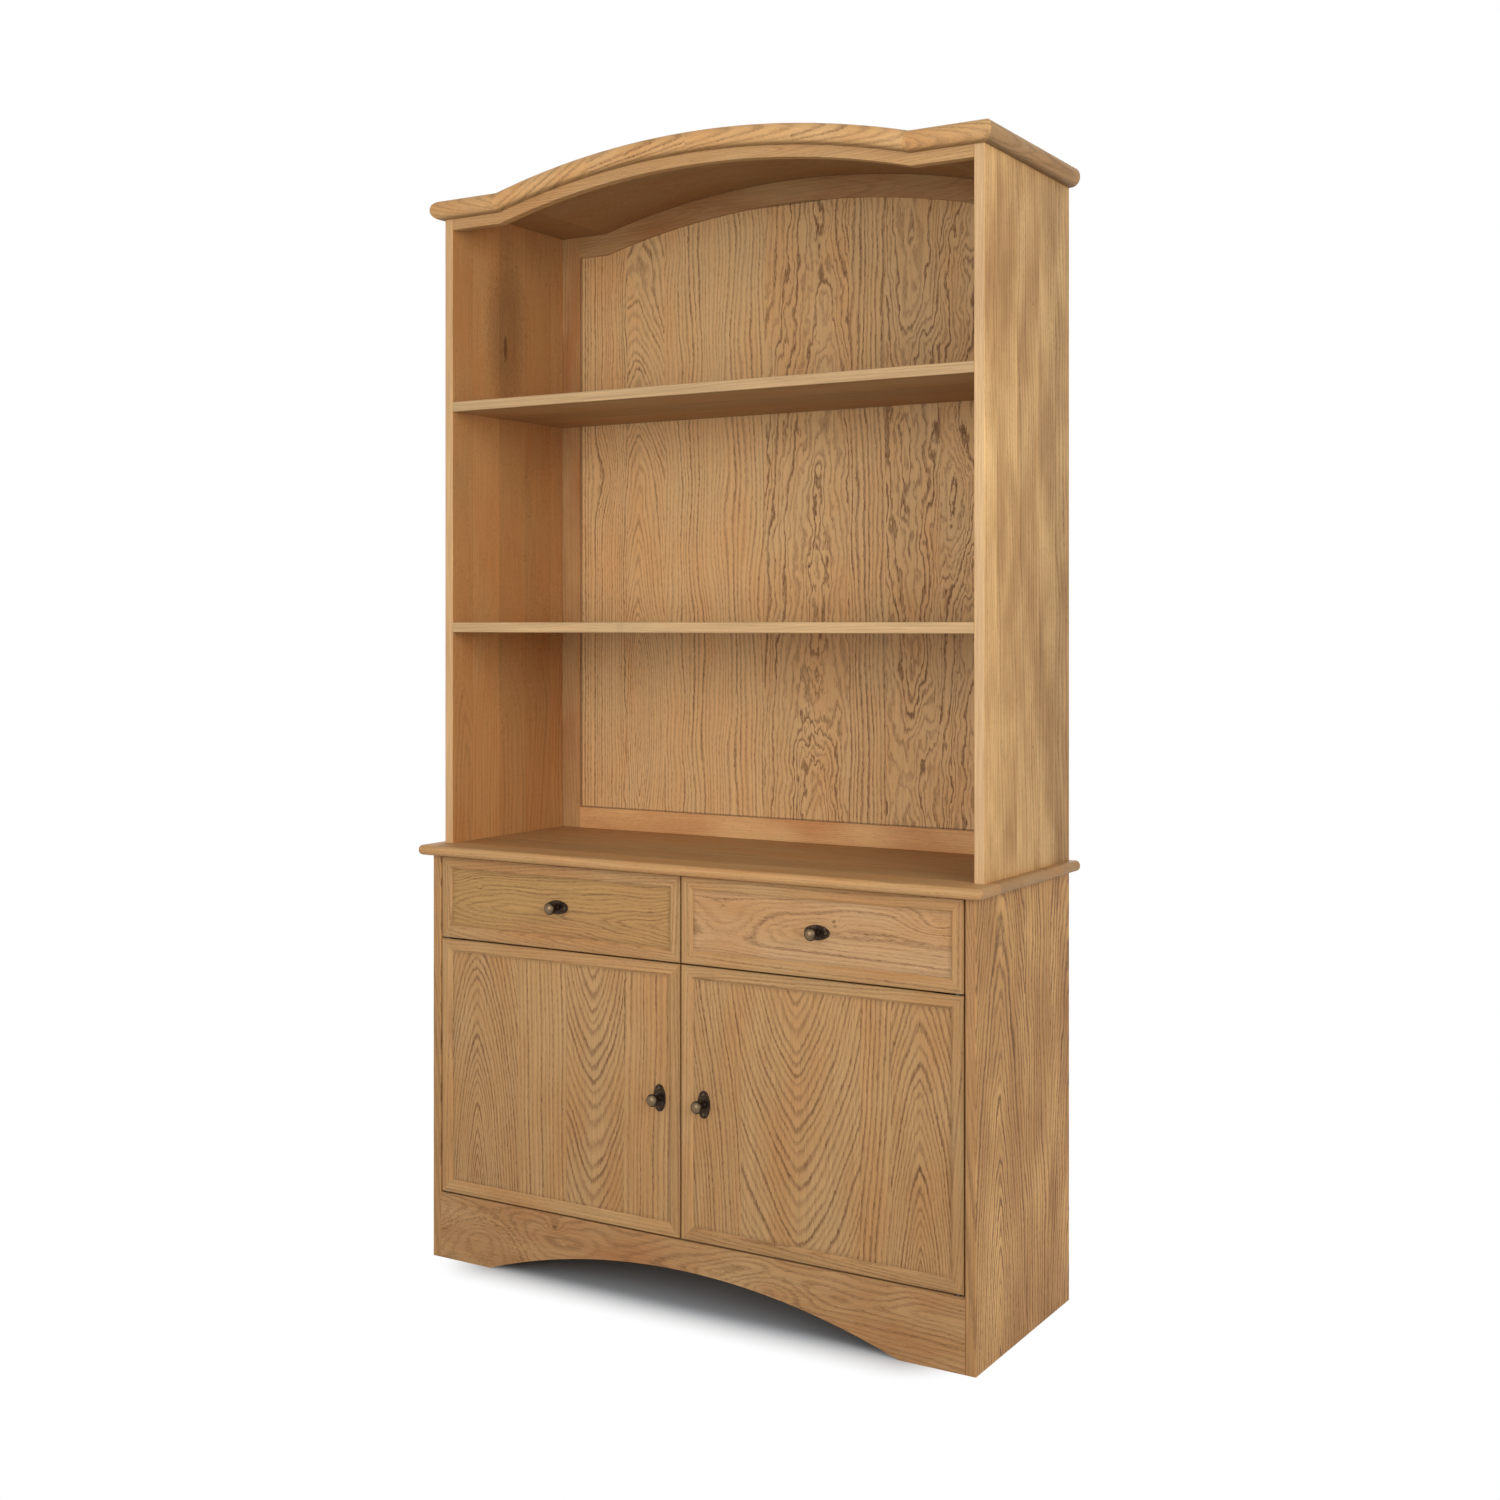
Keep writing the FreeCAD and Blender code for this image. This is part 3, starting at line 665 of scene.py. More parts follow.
@dataclass(frozen=True)
class Timber(Finish):
    """Lacquered wood with growth rings, pores and fibre.

    Attributes:
        map: How the grain runs.
        leaves: How the piece is made up.
        pale: Colour of the lighter wood.
        warm: Colour of the redder wood.
        line: Colour of the open pores.
        ring: Width of a growth ring.
        weight: How strongly the rings show.
        wander: How far the rings stray, in millimetres.
        flame: How far they stray in short waves.
        seed: Moves all noise.
        tone: Level of the whole colour.
        spread: How far a leaf's level may be from the tone.
        cloud: How strongly the level drifts in broad patches.
        knots: The knots.
        rim: The band along the face's border.
        lip: The strip along the front edge.
        glaze: The dark line along the foot.
    """

    map: GrainMap
    leaves: Staves | Veneer
    pale: Colour = paint(204, 162, 110)
    warm: Colour = paint(186, 137, 86)
    line: Colour = paint(106, 70, 43)
    ring: float = 3.4
    weight: float = 0.9
    wander: float = 5.0
    flame: float = 1.2
    seed: float = 0.0
    tone: float = 1.0
    spread: float = 0.07
    cloud: float = 0.3
    knots: tuple[Knot, ...] = ()
    rim: Rim | None = None
    lip: Lip | None = None
    foot_shade: PaintedFootShade | None = None

    KNOT = paint(92, 58, 36)
    LUCK = 37.0
    PORE = Texture(0.8, 11.765, 0.8)
    FIBRE = Texture(1.8182, 166.67, 1.8182, 4.0, 0.6)
    PATCH = Texture(26.0, 95.0, 30.0)
    MOTTLE = Texture(85.0, 240.0, 60.0, 3.0)
    SLOW_DRIFT = Texture(120.0, 260.0, 120.0, 1.0)
    QUICK_DRIFT = Texture(22.0, 70.0, 30.0)
    FUZZ = Texture(0.9, 11.0, 0.9, 1.0)
    PORE_EDGE = (0.50, 0.66)
    PORE_STAIN = 0.12
    PATCH_EDGE = (0.25, 0.7)
    MOTTLE_EDGE = (0.2, 0.8)
    FIBRE_DEPTH = 0.7
    POINT = 1.4
    POINT_SPAN = 62.0
    UNEVEN_RINGS = 4.1
    UNEVENNESS = 2.6
    FUZZINESS = 0.6
    RING_START = (0.0, 0.12)
    RING_END = (0.22, 0.62)
    RING_STRENGTH = (0.38, 1.0)
    KNOT_EDGE = (0.7, 1.5)
    KNOT_REACH = (0.0, 5.0)
    KNOT_PUSH = 1.9
    RAGGED = Texture(5.0, 12.0, 1.0)
    RAGGEDNESS = 0.7
    SPECULAR = 0.2
    ROUGHNESS = 0.52
    RELIEF = 0.00012
    RELIEF_STRENGTH = 0.55
    LIP_BLUR = 1.0
    LIP_FIBRE = (0.4, 1.6)

    def surface(self, graph: Graph) -> dict[str, Value]:
        """The wood's values and signals, by socket."""
        grain = self.map.grain(graph)
        figure = self.leaves.figure(graph, grain.across)
        luck = figure.chance * self.LUCK + self.seed
        knot, push = self._knots(graph, grain)
        band = self._band(graph, self._rings(graph, grain, figure, luck, push))
        pores = grain.noise(self.PORE, luck).rise(*self.PORE_EDGE)
        patch = grain.noise(self.PATCH, luck).rise(*self.PATCH_EDGE)
        lines = band * patch.span(0.6, 1.0) * pores.span(0.5, 1.0)
        lines = lines * (1.3 - figure.chance * 0.6) * self.weight
        lines = (lines + pores * self.PORE_STAIN + figure.joint).least(1.0)
        fibre = grain.noise(self.FIBRE, luck)
        mottle = grain.noise(self.MOTTLE, luck)
        wood = graph.blend(mottle.rise(*self.MOTTLE_EDGE), self.pale, self.warm)
        level = (fibre - 0.5) * self.FIBRE_DEPTH + (mottle - 0.5) * self.cloud + self.tone
        level = (figure.chance - 0.5) * (2.0 * self.spread) + level
        wood = graph.blend(lines, graph.shade(wood, level), self.line)
        if knot is not None:
            wood = graph.blend(knot, wood, self.KNOT)
        # A darker band along a front's border; on the panels it is painted shade where they sink
        # under their frames.
        if self.rim is not None:
            wood = graph.shade(wood, 1.0 - self._rim(graph) * self.rim.shade)
        if self.lip is not None:
            ends = self.lip.end - self.LIP_BLUR, self.lip.end + self.LIP_BLUR
            back = graph.object_place()[1].rise(*ends)
            strip = graph.shade(self.lip.colour, fibre.span(*self.LIP_FIBRE))
            wood = graph.blend((1.0 - back) * self.lip.share, wood, strip)
        # Painted shade along the foot of a moulding, where it meets its rail.
        if self.foot_shade is not None:
            wood = graph.shade(wood, 1.0 - self._glaze(graph) * self.foot_shade.shade)
        height = 1.0 - lines * 0.7 - fibre * 0.3
        return {
            "Base Color": wood,
            "Roughness": lines * 0.12 + (mottle - 0.5) * 0.1 + self.ROUGHNESS,
            "Specular IOR Level": self.SPECULAR,
            "Normal": graph.bump(height, self.RELIEF, self.RELIEF_STRENGTH),
        }

    def _rings(
        self, graph: Graph, grain: Grain, figure: Figure, luck: Signal, push: Signal | float
    ) -> Signal:
        """The number of rings between the heart and the point.

        Args:
            graph: The material's graph.
            grain: The point's place in the board.
            figure: What its leaf shows.
            luck: Moves the noise from leaf to leaf.
            push: What the knots add.

        Returns:
            The number, with its fraction.
        """
        slow = grain.noise(self.SLOW_DRIFT, luck)
        quick = grain.noise(self.QUICK_DRIFT, luck)
        depth = figure.depth + figure.slope * grain.along + grain.deep
        depth = depth + (slow - 0.5) * (4.0 * self.wander) + push
        depth = depth + (quick - 0.5) * (1.45 - figure.chance * 1.3) * (2.0 * self.flame)
        side = (figure.local - figure.offset + (slow - 0.5) * (2.0 * self.wander)).magnitude()
        spread = side**self.POINT * self.POINT_SPAN ** (2.0 - self.POINT)
        radius = (spread + depth * depth).root()
        uneven = graph.noise(radius / (self.ring * self.UNEVEN_RINGS), luck, 0.0, 1.0)
        fuzz = grain.noise(self.FUZZ)
        return radius / self.ring + uneven * self.UNEVENNESS + (fuzz - 0.5) * self.FUZZINESS

    def _band(self, graph: Graph, rings: Signal) -> Signal:
        """How much early wood lies at a point, ring by ring."""
        strength = graph.chance(rings.whole() + self.seed).span(*self.RING_STRENGTH)
        turn = rings.part()
        return turn.rise(*self.RING_START) * (1.0 - turn.rise(*self.RING_END)) * strength

    def _knots(self, graph: Graph, grain: Grain) -> tuple[Signal | None, Signal | float]:
        """The knots' darkness, and how far they push the rings aside."""
        dark: Signal | None = None
        push: Signal | float = 0.0
        for knot in self.knots:
            side = (grain.across - knot.across) / knot.radius
            run = (grain.along - knot.along) / (knot.radius * knot.stretch)
            across, along = grain.across / self.RAGGED.across, grain.along / self.RAGGED.along
            ragged = graph.noise(across, along, 0.0) * self.RAGGEDNESS
            distance = (side * side + run * run).root() + ragged
            near = 1.0 - distance.rise(*self.KNOT_REACH)
            push = near * (knot.radius * self.KNOT_PUSH) + push
            spot = (1.0 - distance.rise(*self.KNOT_EDGE)) * knot.dark
            dark = spot if dark is None else dark.most(spot)
        return dark, push

    def _glaze(self, graph: Graph) -> Signal:
        """How much glaze lies at a point."""
        x, _, z = graph.object_place()
        if self.foot_shade.centre is not None:
            rise = z - self.foot_shade.centre
            z = (x * x + rise * rise).root()
        return 1.0 - z.rise(self.foot_shade.start, self.foot_shade.start + self.foot_shade.reach)

    def _rim(self, graph: Graph) -> Signal:
        """How near a point is to the border of its front."""
        place, centre, size = graph.object_place(), middle(self.rim.node), extent(self.rim.node)
        side, height = (
            size[n] / 2.0 - (place[n] - centre[n]).magnitude() for n in (Axis.X.value, Axis.Z.value)
        )
        return 1.0 - side.least(height).rise(self.rim.start, self.rim.end)


def timber(node: str, run: Run, leaves: Staves | Veneer, **look: Any) -> Timber:
    """Timber with straight grain.

    Args:
        node: The piece's node.
        run: How its grain runs.
        leaves: How it is made up. The seed of staves is the timber's, unless look has one.
        **look: Other values of the timber.

    Returns:
        The finish.
    """
    if isinstance(leaves, Staves):
        look = {"seed": leaves.seed, **look}
    return Timber(StraightGrain(node, run), leaves, **look)


@dataclass(frozen=True)
class Bronze(Finish):
    """Antique bronze: dark in the hollows, worn to a lighter metal where it is touched.

    Attributes:
        centre: The knob's middle, in millimetres.
        worn_y: Where the face that is touched lies.
        reach: How far behind it the wear goes.
        share: How much of it is worn.
        seed: Moves the noise.
    """

    centre: Place
    worn_y: float
    reach: float
    share: float
    seed: float

    DARK = paint(46, 34, 26)
    WORN = paint(120, 100, 74)
    BLOTCH = 5.0
    GRAIN = 0.6
    WEAR_EDGE = (0.15, 0.85)
    GRAIN_LEVEL = (0.75, 1.25)
    METALLIC = 0.85
    ROUGHNESS = 0.44
    RELIEF = 0.0001
    RELIEF_STRENGTH = 0.5

    def surface(self, graph: Graph) -> dict[str, Value]:
        """The metal's values and signals, by socket."""
        x, y, z = (value - offset for value, offset in zip(graph.object_place(), self.centre))
        size = self.BLOTCH
        blotch = graph.noise(x / size + self.seed, y / size, z / size, 4.0, 0.6)
        size = self.GRAIN
        grain = graph.noise(x / size, y / size + self.seed, z / size, 3.0, 0.6)
        front = 1.0 - (y + self.centre[1] - self.worn_y).rise(0.0, self.reach)
        wear = front * self.share + (blotch - 0.5) * 0.9 + (grain - 0.5) * 0.3
        wear = wear.rise(*self.WEAR_EDGE)
        colour = graph.blend(wear, self.DARK, self.WORN)
        return {
            "Base Color": graph.shade(colour, grain.span(*self.GRAIN_LEVEL)),
            "Metallic": self.METALLIC,
            "Roughness": (blotch - 0.5) * 0.3 - wear * 0.08 + self.ROUGHNESS,
            "Normal": graph.bump(grain + blotch, self.RELIEF, self.RELIEF_STRENGTH),
        }


@dataclass(frozen=True)
class Steel(Finish):
    """Zinc-plated steel with a fine rolled grain.

    Attributes:
        colour: The metal's colour.
    """

    colour: Colour = paint(172, 172, 168)

    ROLLED = Texture(0.3, 0.3, 4.0, 3.0)
    CLOUD = Texture(14.0, 14.0, 14.0, 3.0)
    CLOUD_LEVEL = (0.85, 1.15)
    METALLIC = 0.95
    ROUGHNESS = 0.24
    RELIEF = 0.00003
    RELIEF_STRENGTH = 0.4

    def surface(self, graph: Graph) -> dict[str, Value]:
        """The metal's values and signals, by socket."""
        place = Grain(*graph.object_place())
        grain, cloud = place.noise(self.ROLLED), place.noise(self.CLOUD)
        return {
            "Base Color": graph.shade(self.colour, cloud.span(*self.CLOUD_LEVEL)),
            "Metallic": self.METALLIC,
            "Roughness": grain * 0.16 + cloud * 0.1 + self.ROUGHNESS,
            "Normal": graph.bump(grain, self.RELIEF, self.RELIEF_STRENGTH),
        }


@dataclass(frozen=True)
class Moulded(Finish):
    """Moulded plastic with a fine spark-eroded texture.

    Attributes:
        colour: The plastic's colour.
    """

    colour: Colour = paint(96, 66, 42)

    ERODED = Texture(0.25, 0.25, 0.25)
    CLOUD = Texture(9.0, 9.0, 9.0)
    CLOUD_LEVEL = (0.9, 1.1)
    ROUGHNESS = (0.42, 0.62)
    RELIEF = 0.00005
    RELIEF_STRENGTH = 0.5

    def surface(self, graph: Graph) -> dict[str, Value]:
        """The plastic's values and signals, by socket."""
        place = Grain(*graph.object_place())
        grain, cloud = place.noise(self.ERODED), place.noise(self.CLOUD)
        return {
            "Base Color": graph.shade(self.colour, cloud.span(*self.CLOUD_LEVEL)),
            "Roughness": grain.span(*self.ROUGHNESS),
            "Normal": graph.bump(grain, self.RELIEF, self.RELIEF_STRENGTH),
        }


PIVOT_STEEL = Steel(paint(92, 84, 74))


# Modelling

WELD = 0.000004
FLAT = math.radians(0.4)
SMOOTH = math.radians(35.0)


class Element(Enum):
    """What is picked in a mesh."""

    EDGE = "edges"
    FACE = "faces"


def select_only(*pieces: bpy.types.Object) -> None:
    """Select these objects and nothing else, the last one active."""
    bpy.ops.object.select_all(action="DESELECT")
    for piece in pieces:
        piece.select_set(True)
        bpy.context.view_layer.objects.active = piece


def pick(piece: bpy.types.Object, element: Element, wanted: Callable[[Any], bool]) -> int:
    """Select edges or faces in edit mode.

    Args:
        piece: The object in edit mode.
        element: What is picked.
        wanted: Says of an edge or a face if it is wanted.

    Returns:
        How many were selected.
    """
    bpy.ops.mesh.select_mode(type=element.name)
    bpy.ops.mesh.select_all(action="DESELECT")
    mesh = bmesh.from_edit_mesh(piece.data)
    mesh.normal_update()
    chosen = [item for item in getattr(mesh, element.value) if wanted(item)]
    for item in chosen:
        item.select_set(True)
    mesh.select_flush_mode()
    bmesh.update_edit_mesh(piece.data)
    return len(chosen)


def settle(piece: bpy.types.Object) -> None:
    """Put a finished piece's place into its mesh and smooth its rounds."""
    select_only(piece)
    bpy.ops.object.transform_apply(location=True, rotation=True, scale=True)
    bpy.ops.object.shade_smooth_by_angle(angle=SMOOTH)
    weighted = piece.modifiers.new("weighted", "WEIGHTED_NORMAL")
    weighted.keep_sharp = True
    bpy.ops.object.modifier_apply(modifier=weighted.name)


def dress(piece: bpy.types.Object, finish: Finish) -> None:
    """Give a piece its own material."""
    made = finish.material(piece.name)
    if piece.material_slots:
        piece.material_slots[0].material = made
    else:
        piece.data.materials.append(made)


def dress_node(node: str, finish: Finish) -> None:
    """Give a node of the frame its own material."""
    dress(frame["nodes"][node], finish)


def copy_piece(piece: bpy.types.Object, name: str) -> bpy.types.Object:
    """Copy an object with its mesh.

    Args:
        piece: What is copied.
        name: The copy's name.

    Returns:
        The copy, selected and active.
    """
    select_only(piece)
    bpy.ops.object.duplicate()
    copy = bpy.context.active_object
    copy.name = name
    copy.data.name = name
    return copy


def copy_node(node: str, name: str) -> bpy.types.Object:
    """Copy a node of the frame and weld its mesh.

    Args:
        node: The node.
        name: The copy's name.

    Returns:
        The copy, in edit mode with everything selected.
    """
    piece = copy_piece(frame["nodes"][node], name)
    bpy.ops.object.parent_clear(type="CLEAR_KEEP_TRANSFORM")
    bpy.ops.mesh.customdata_custom_splitnormals_clear()
    bpy.ops.object.mode_set(mode="EDIT")
    bpy.ops.mesh.select_all(action="SELECT")
    bpy.ops.mesh.remove_doubles(threshold=WELD)
    return piece


def place_piece(piece: bpy.types.Object, body: str, slot: str, node: str | None = None) -> None:
    """Let a piece ride on its body.

    Args:
        piece: The finished piece.
        body: The body.
        slot: The slot of its material.
        node: The node that it stands for.
    """
    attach(piece, body)
    if node is not None:
        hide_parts(node)


@dataclass(frozen=True)
class EasedBoard:
    """A board of the frame, copied and given rounded arrises.

    Attributes:
        node: The board's node.
        body: The body it rides on.
        radius: The arris's radius, in millimetres.
        mitred: Whether edges across the front at 45 degrees stay sharp.
        joined: Whether the node holds both sides of its mitres.
    """

    node: str
    body: str
    radius: float
    mitred: bool = False
    joined: bool = False

    SHARP = math.radians(55.0)
    SHORTEST = 0.009
    ROUND_SEGMENTS = 3
    MITRE_NORMAL = 0.6
    MITRE_NORMAL_SLACK = 0.05
    MITRE_SHORTEST = 0.001
    MITRE_SLACK = 0.02
    MITRE_DEPTH = 0.6

    def build(self, finish: Finish) -> None:
        """Copy the board, round its arrises and dress it.

        Args:
            finish: The board's finish.
        """
        piece = copy_node(self.node, self.node + "_eased")
        if self.joined and pick(piece, Element.FACE, self._is_mitre_face):
            bpy.ops.mesh.delete(type="FACE")
        if self.mitred and pick(piece, Element.EDGE, self._is_mitre):
            bpy.ops.mesh.mark_seam()
        bpy.ops.mesh.select_all(action="SELECT")
        bpy.ops.mesh.dissolve_limited(angle_limit=FLAT, delimit={"SEAM"})
        if pick(piece, Element.EDGE, self._is_arris):
            bpy.ops.mesh.bevel(
                offset=self.radius * MILLIMETRE,
                segments=self.ROUND_SEGMENTS,
                affect="EDGES",
                clamp_overlap=True,
            )
        bpy.ops.mesh.select_all(action="SELECT")
        bpy.ops.mesh.dissolve_degenerate(threshold=WELD)
        bpy.ops.object.mode_set(mode="OBJECT")
        settle(piece)
        dress(piece, finish)
        place_piece(piece, self.body, "oak", self.node)
        LOG.info("%s: %d faces", piece.name, len(piece.data.polygons))

    def _is_mitre_face(self, face: bmesh.types.BMFace) -> bool:
        """Whether a face lies in a mitre."""
        level, upright = abs(face.normal.x), abs(face.normal.z)
        return level > self.MITRE_NORMAL and abs(level - upright) < self.MITRE_NORMAL_SLACK

    def _is_mitre(self, edge: bmesh.types.BMEdge) -> bool:
        """Whether an edge runs across the front at 45 degrees."""
        run = edge.verts[1].co - edge.verts[0].co
        level, upright = abs(run.x), abs(run.z)
        if level <= self.MITRE_SHORTEST or abs(run.y) >= self.MITRE_DEPTH * level:
            return False
        return abs(level - upright) < self.MITRE_SLACK * level

    def _is_arris(self, edge: bmesh.types.BMEdge) -> bool:
        """Whether an edge is one that a maker would round."""
        if len(edge.link_faces) != 2 or not edge.is_convex:
            return False
        if edge.calc_length() < self.SHORTEST or edge.calc_face_angle() < self.SHARP:
            return False
        return not (self.mitred and self._is_mitre(edge))


@dataclass(frozen=True)
class ScrewHead:
    """The slotted head of a wood screw, in millimetres.

    Attributes:
        radius: Its radius.
        height: Its height.
        proud: How far its top stands over the face that it is let into.
        dome: How much of its height is rounded, as a share.
        slot: Width of its slot.
        slot_depth: Depth of the slot.
    """

    radius: float
    height: float
    proud: float
    dome: float
    slot: float = 0.9
    slot_depth: float = 0.6

    NEAR = 0.00002
    SLOT_SHARE = 0.98
    FACES_UP = 0.2
    CLEARANCE = 0.15
    SIDES = 32
    DOME_SEGMENTS = 5

    def model(self) -> bpy.types.Object:
        """Model a head that looks up, its top at the origin.

        Returns:
            The head.
        """
        height = self.height * MILLIMETRE
        self._cylinder(self.radius, height, UP * (-height / 2.0), UP)
        piece = bpy.context.active_object
        piece.name = "screw_pattern"
        bpy.ops.object.transform_apply(location=True, rotation=True, scale=True)
        bpy.ops.object.mode_set(mode="EDIT")
        if pick(piece, Element.EDGE, self._is_top):
            bpy.ops.mesh.bevel(
                offset=self.dome * height, segments=self.DOME_SEGMENTS, affect="EDGES"
            )
        half = 0.5 * self.slot * MILLIMETRE
        for offset in (-half, half):
            bpy.ops.mesh.select_all(action="SELECT")
            bpy.ops.mesh.bisect(plane_co=(offset, 0.0, 0.0), plane_no=(1.0, 0.0, 0.0))
        if pick(piece, Element.FACE, self._is_in_slot):
            sink = (0.0, 0.0, -self.slot_depth * MILLIMETRE)
            bpy.ops.mesh.extrude_region_move(TRANSFORM_OT_translate={"value": sink})
        bpy.ops.object.mode_set(mode="OBJECT")
        settle(piece)
        return piece

    def bore(self, place: Vector, out: Vector) -> None:
        """Add the solid that is cut away for the head."""
        self._cylinder(self.radius + self.CLEARANCE, 2.0 * self.height * MILLIMETRE, place, out)

    def _is_top(self, edge: bmesh.types.BMEdge) -> bool:
        """Whether an edge bounds the head's top."""
        return all(point.co.z > -self.NEAR for point in edge.verts)

    def _is_in_slot(self, face: bmesh.types.BMFace) -> bool:
        """Whether a face of the top lies between the slot's walls."""
        half = 0.5 * self.slot * MILLIMETRE
        inside = abs(face.calc_center_median().x) < half * self.SLOT_SHARE
        return inside and face.normal.z > self.FACES_UP

    @classmethod
    def _cylinder(cls, radius: float, depth: float, centre: Vector, out: Vector) -> None:
        """Add a cylinder along a direction.

        Args:
            radius: Its radius, in millimetres.
            depth: Its length, in metres.
            centre: Its middle.
            out: Where its end looks.
        """
        bpy.ops.object.select_all(action="DESELECT")
        bpy.ops.mesh.primitive_cylinder_add(
            vertices=cls.SIDES,
            radius=radius * MILLIMETRE,
            depth=depth,
            location=centre,
            rotation=out.to_track_quat("Z", "Y").to_euler(),
        )


class ScrewTray:
    """One modelled head of each kind, from which the screws are copied."""

    def __init__(self) -> None:
        """Start with an empty tray."""
        self.patterns: dict[ScrewHead, bpy.types.Object] = {}

    def take(
        self, head: ScrewHead, name: str, place: Vector, out: Vector, turn: float
    ) -> bpy.types.Object:
        """Copy a head to its place.

        Args:
            head: The kind of head.
            name: The screw's name.
            place: The middle of the head on the face.
            out: Where the face looks.
            turn: The slot's turn, in degrees.

        Returns:
            The screw.
        """
        if head not in self.patterns:
            self.patterns[head] = head.model()
        screw = copy_piece(self.patterns[head], name)
        spin = Quaternion((0.0, 0.0, 1.0), math.radians(turn))
        screw.location = place + out * (head.proud * MILLIMETRE)
        screw.rotation_euler = (out.to_track_quat("Z", "Y") @ spin).to_euler()
        bpy.ops.object.transform_apply(location=True, rotation=True, scale=True)
        return screw

    def empty(self) -> None:
        """Remove the modelled heads once all screws are copied."""
        for pattern in self.patterns.values():
            bpy.data.objects.remove(pattern, do_unlink=True)
        self.patterns.clear()


FLAT_HEAD = ScrewHead(3.4, 0.9, -0.1, 0.2)
SMALL_HEAD = ScrewHead(1.9, 0.8, -0.1, 0.2, 0.6, 0.45)
DOMED_HEAD = ScrewHead(2.9, 1.6, 1.2, 0.62, 1.0, 0.64)
TRAY = ScrewTray()


class Screw(NamedTuple):
    """A screw's place on a fitting's face, in millimetres, and where the face looks."""

    place: Place
    out: Place


def on_both_sides(reach: float, points: Sequence[tuple[float, float]], out: Place) -> list[Screw]:
    """Screws at the same places on the left and on the right.

    Args:
        reach: How far they are from the middle.
        points: Their y and z.
        out: Where their faces look.

    Returns:
        The screws, the left ones first.
    """
    return [Screw((side.value * reach, *point), out) for side in Side for point in points]


@dataclass(frozen=True)
class Fitting:
    """A small fitting of the frame, copied, bored and screwed down.

    Attributes:
        node: The fitting's node.
        body: The body it rides on.
        head: The head of its screws.
        slot: The slot of its material.
    """

    node: str
    body: str
    head: ScrewHead
    slot: str = "steel"

    FIRST_TURN = 25.0
    NEXT_TURN = 70.0

    def build(self, finish: Finish, screws: Sequence[Screw], screw_finish: Finish) -> None:
        """Copy the fitting, bore it and put its screws in.

        Args:
            finish: The fitting's finish.
            screws: Its screws.
            screw_finish: The screws' finish.
        """
        piece = copy_node(self.node, self.node + "_bored")
        bpy.ops.mesh.dissolve_limited(angle_limit=FLAT)
        bpy.ops.object.mode_set(mode="OBJECT")
        spots = [(Vector(screw.place) * MILLIMETRE, Vector(screw.out)) for screw in screws]
        self._bore(piece, spots)
        settle(piece)
        dress(piece, finish)
        place_piece(piece, self.body, self.slot, self.node)
        for number, (place, out) in enumerate(spots):
            turn = self.FIRST_TURN + self.NEXT_TURN * number
            screw = TRAY.take(self.head, f"{self.node}_screw_{number + 1}", place, out, turn)
            dress(screw, screw_finish)
            place_piece(screw, self.body, "steel")
        LOG.info("%s: %d screws", self.node, len(spots))

    def _bore(self, piece: bpy.types.Object, spots: Sequence[tuple[Vector, Vector]]) -> None:
        """Cut the screws' beds.

        Args:
            piece: The copied fitting.
            spots: The screws' places and where their faces look.
        """
        cutters = []
        for place, out in spots:
            self.head.bore(place, out)
            cutters.append(bpy.context.active_object)
        select_only(*cutters)
        bpy.ops.object.join()
        cutter = bpy.context.active_object
        bore = piece.modifiers.new("bore", "BOOLEAN")
        bore.operation = "DIFFERENCE"
        bore.solver = "EXACT"
        bore.object = cutter
        select_only(piece)
        bpy.ops.object.modifier_apply(modifier=bore.name)
        bpy.data.objects.remove(cutter, do_unlink=True)


# Sub-assemblies


class Lamp(NamedTuple):
    """A square soft box.

    Attributes:
        name: The lamp's name.
        place: Where it hangs.
        target: What it is turned to.
        side: Its side.
        power: Its power in watts.
        spread: How wide it shines, in degrees.
    """

    name: str
    place: Place
    target: Place
    side: float
    power: float
    spread: float

    def hang(self) -> None:
        """Add the lamp."""
        turn = (Vector(self.place) - Vector(self.target)).to_track_quat("Z", "Y").to_euler()
        bpy.ops.object.light_add(type="AREA", location=self.place, rotation=turn)
        lamp = bpy.context.active_object
        lamp.name = "lamp_" + self.name
        lamp.data.size = self.side
        lamp.data.energy = self.power
        lamp.data.spread = math.radians(self.spread)


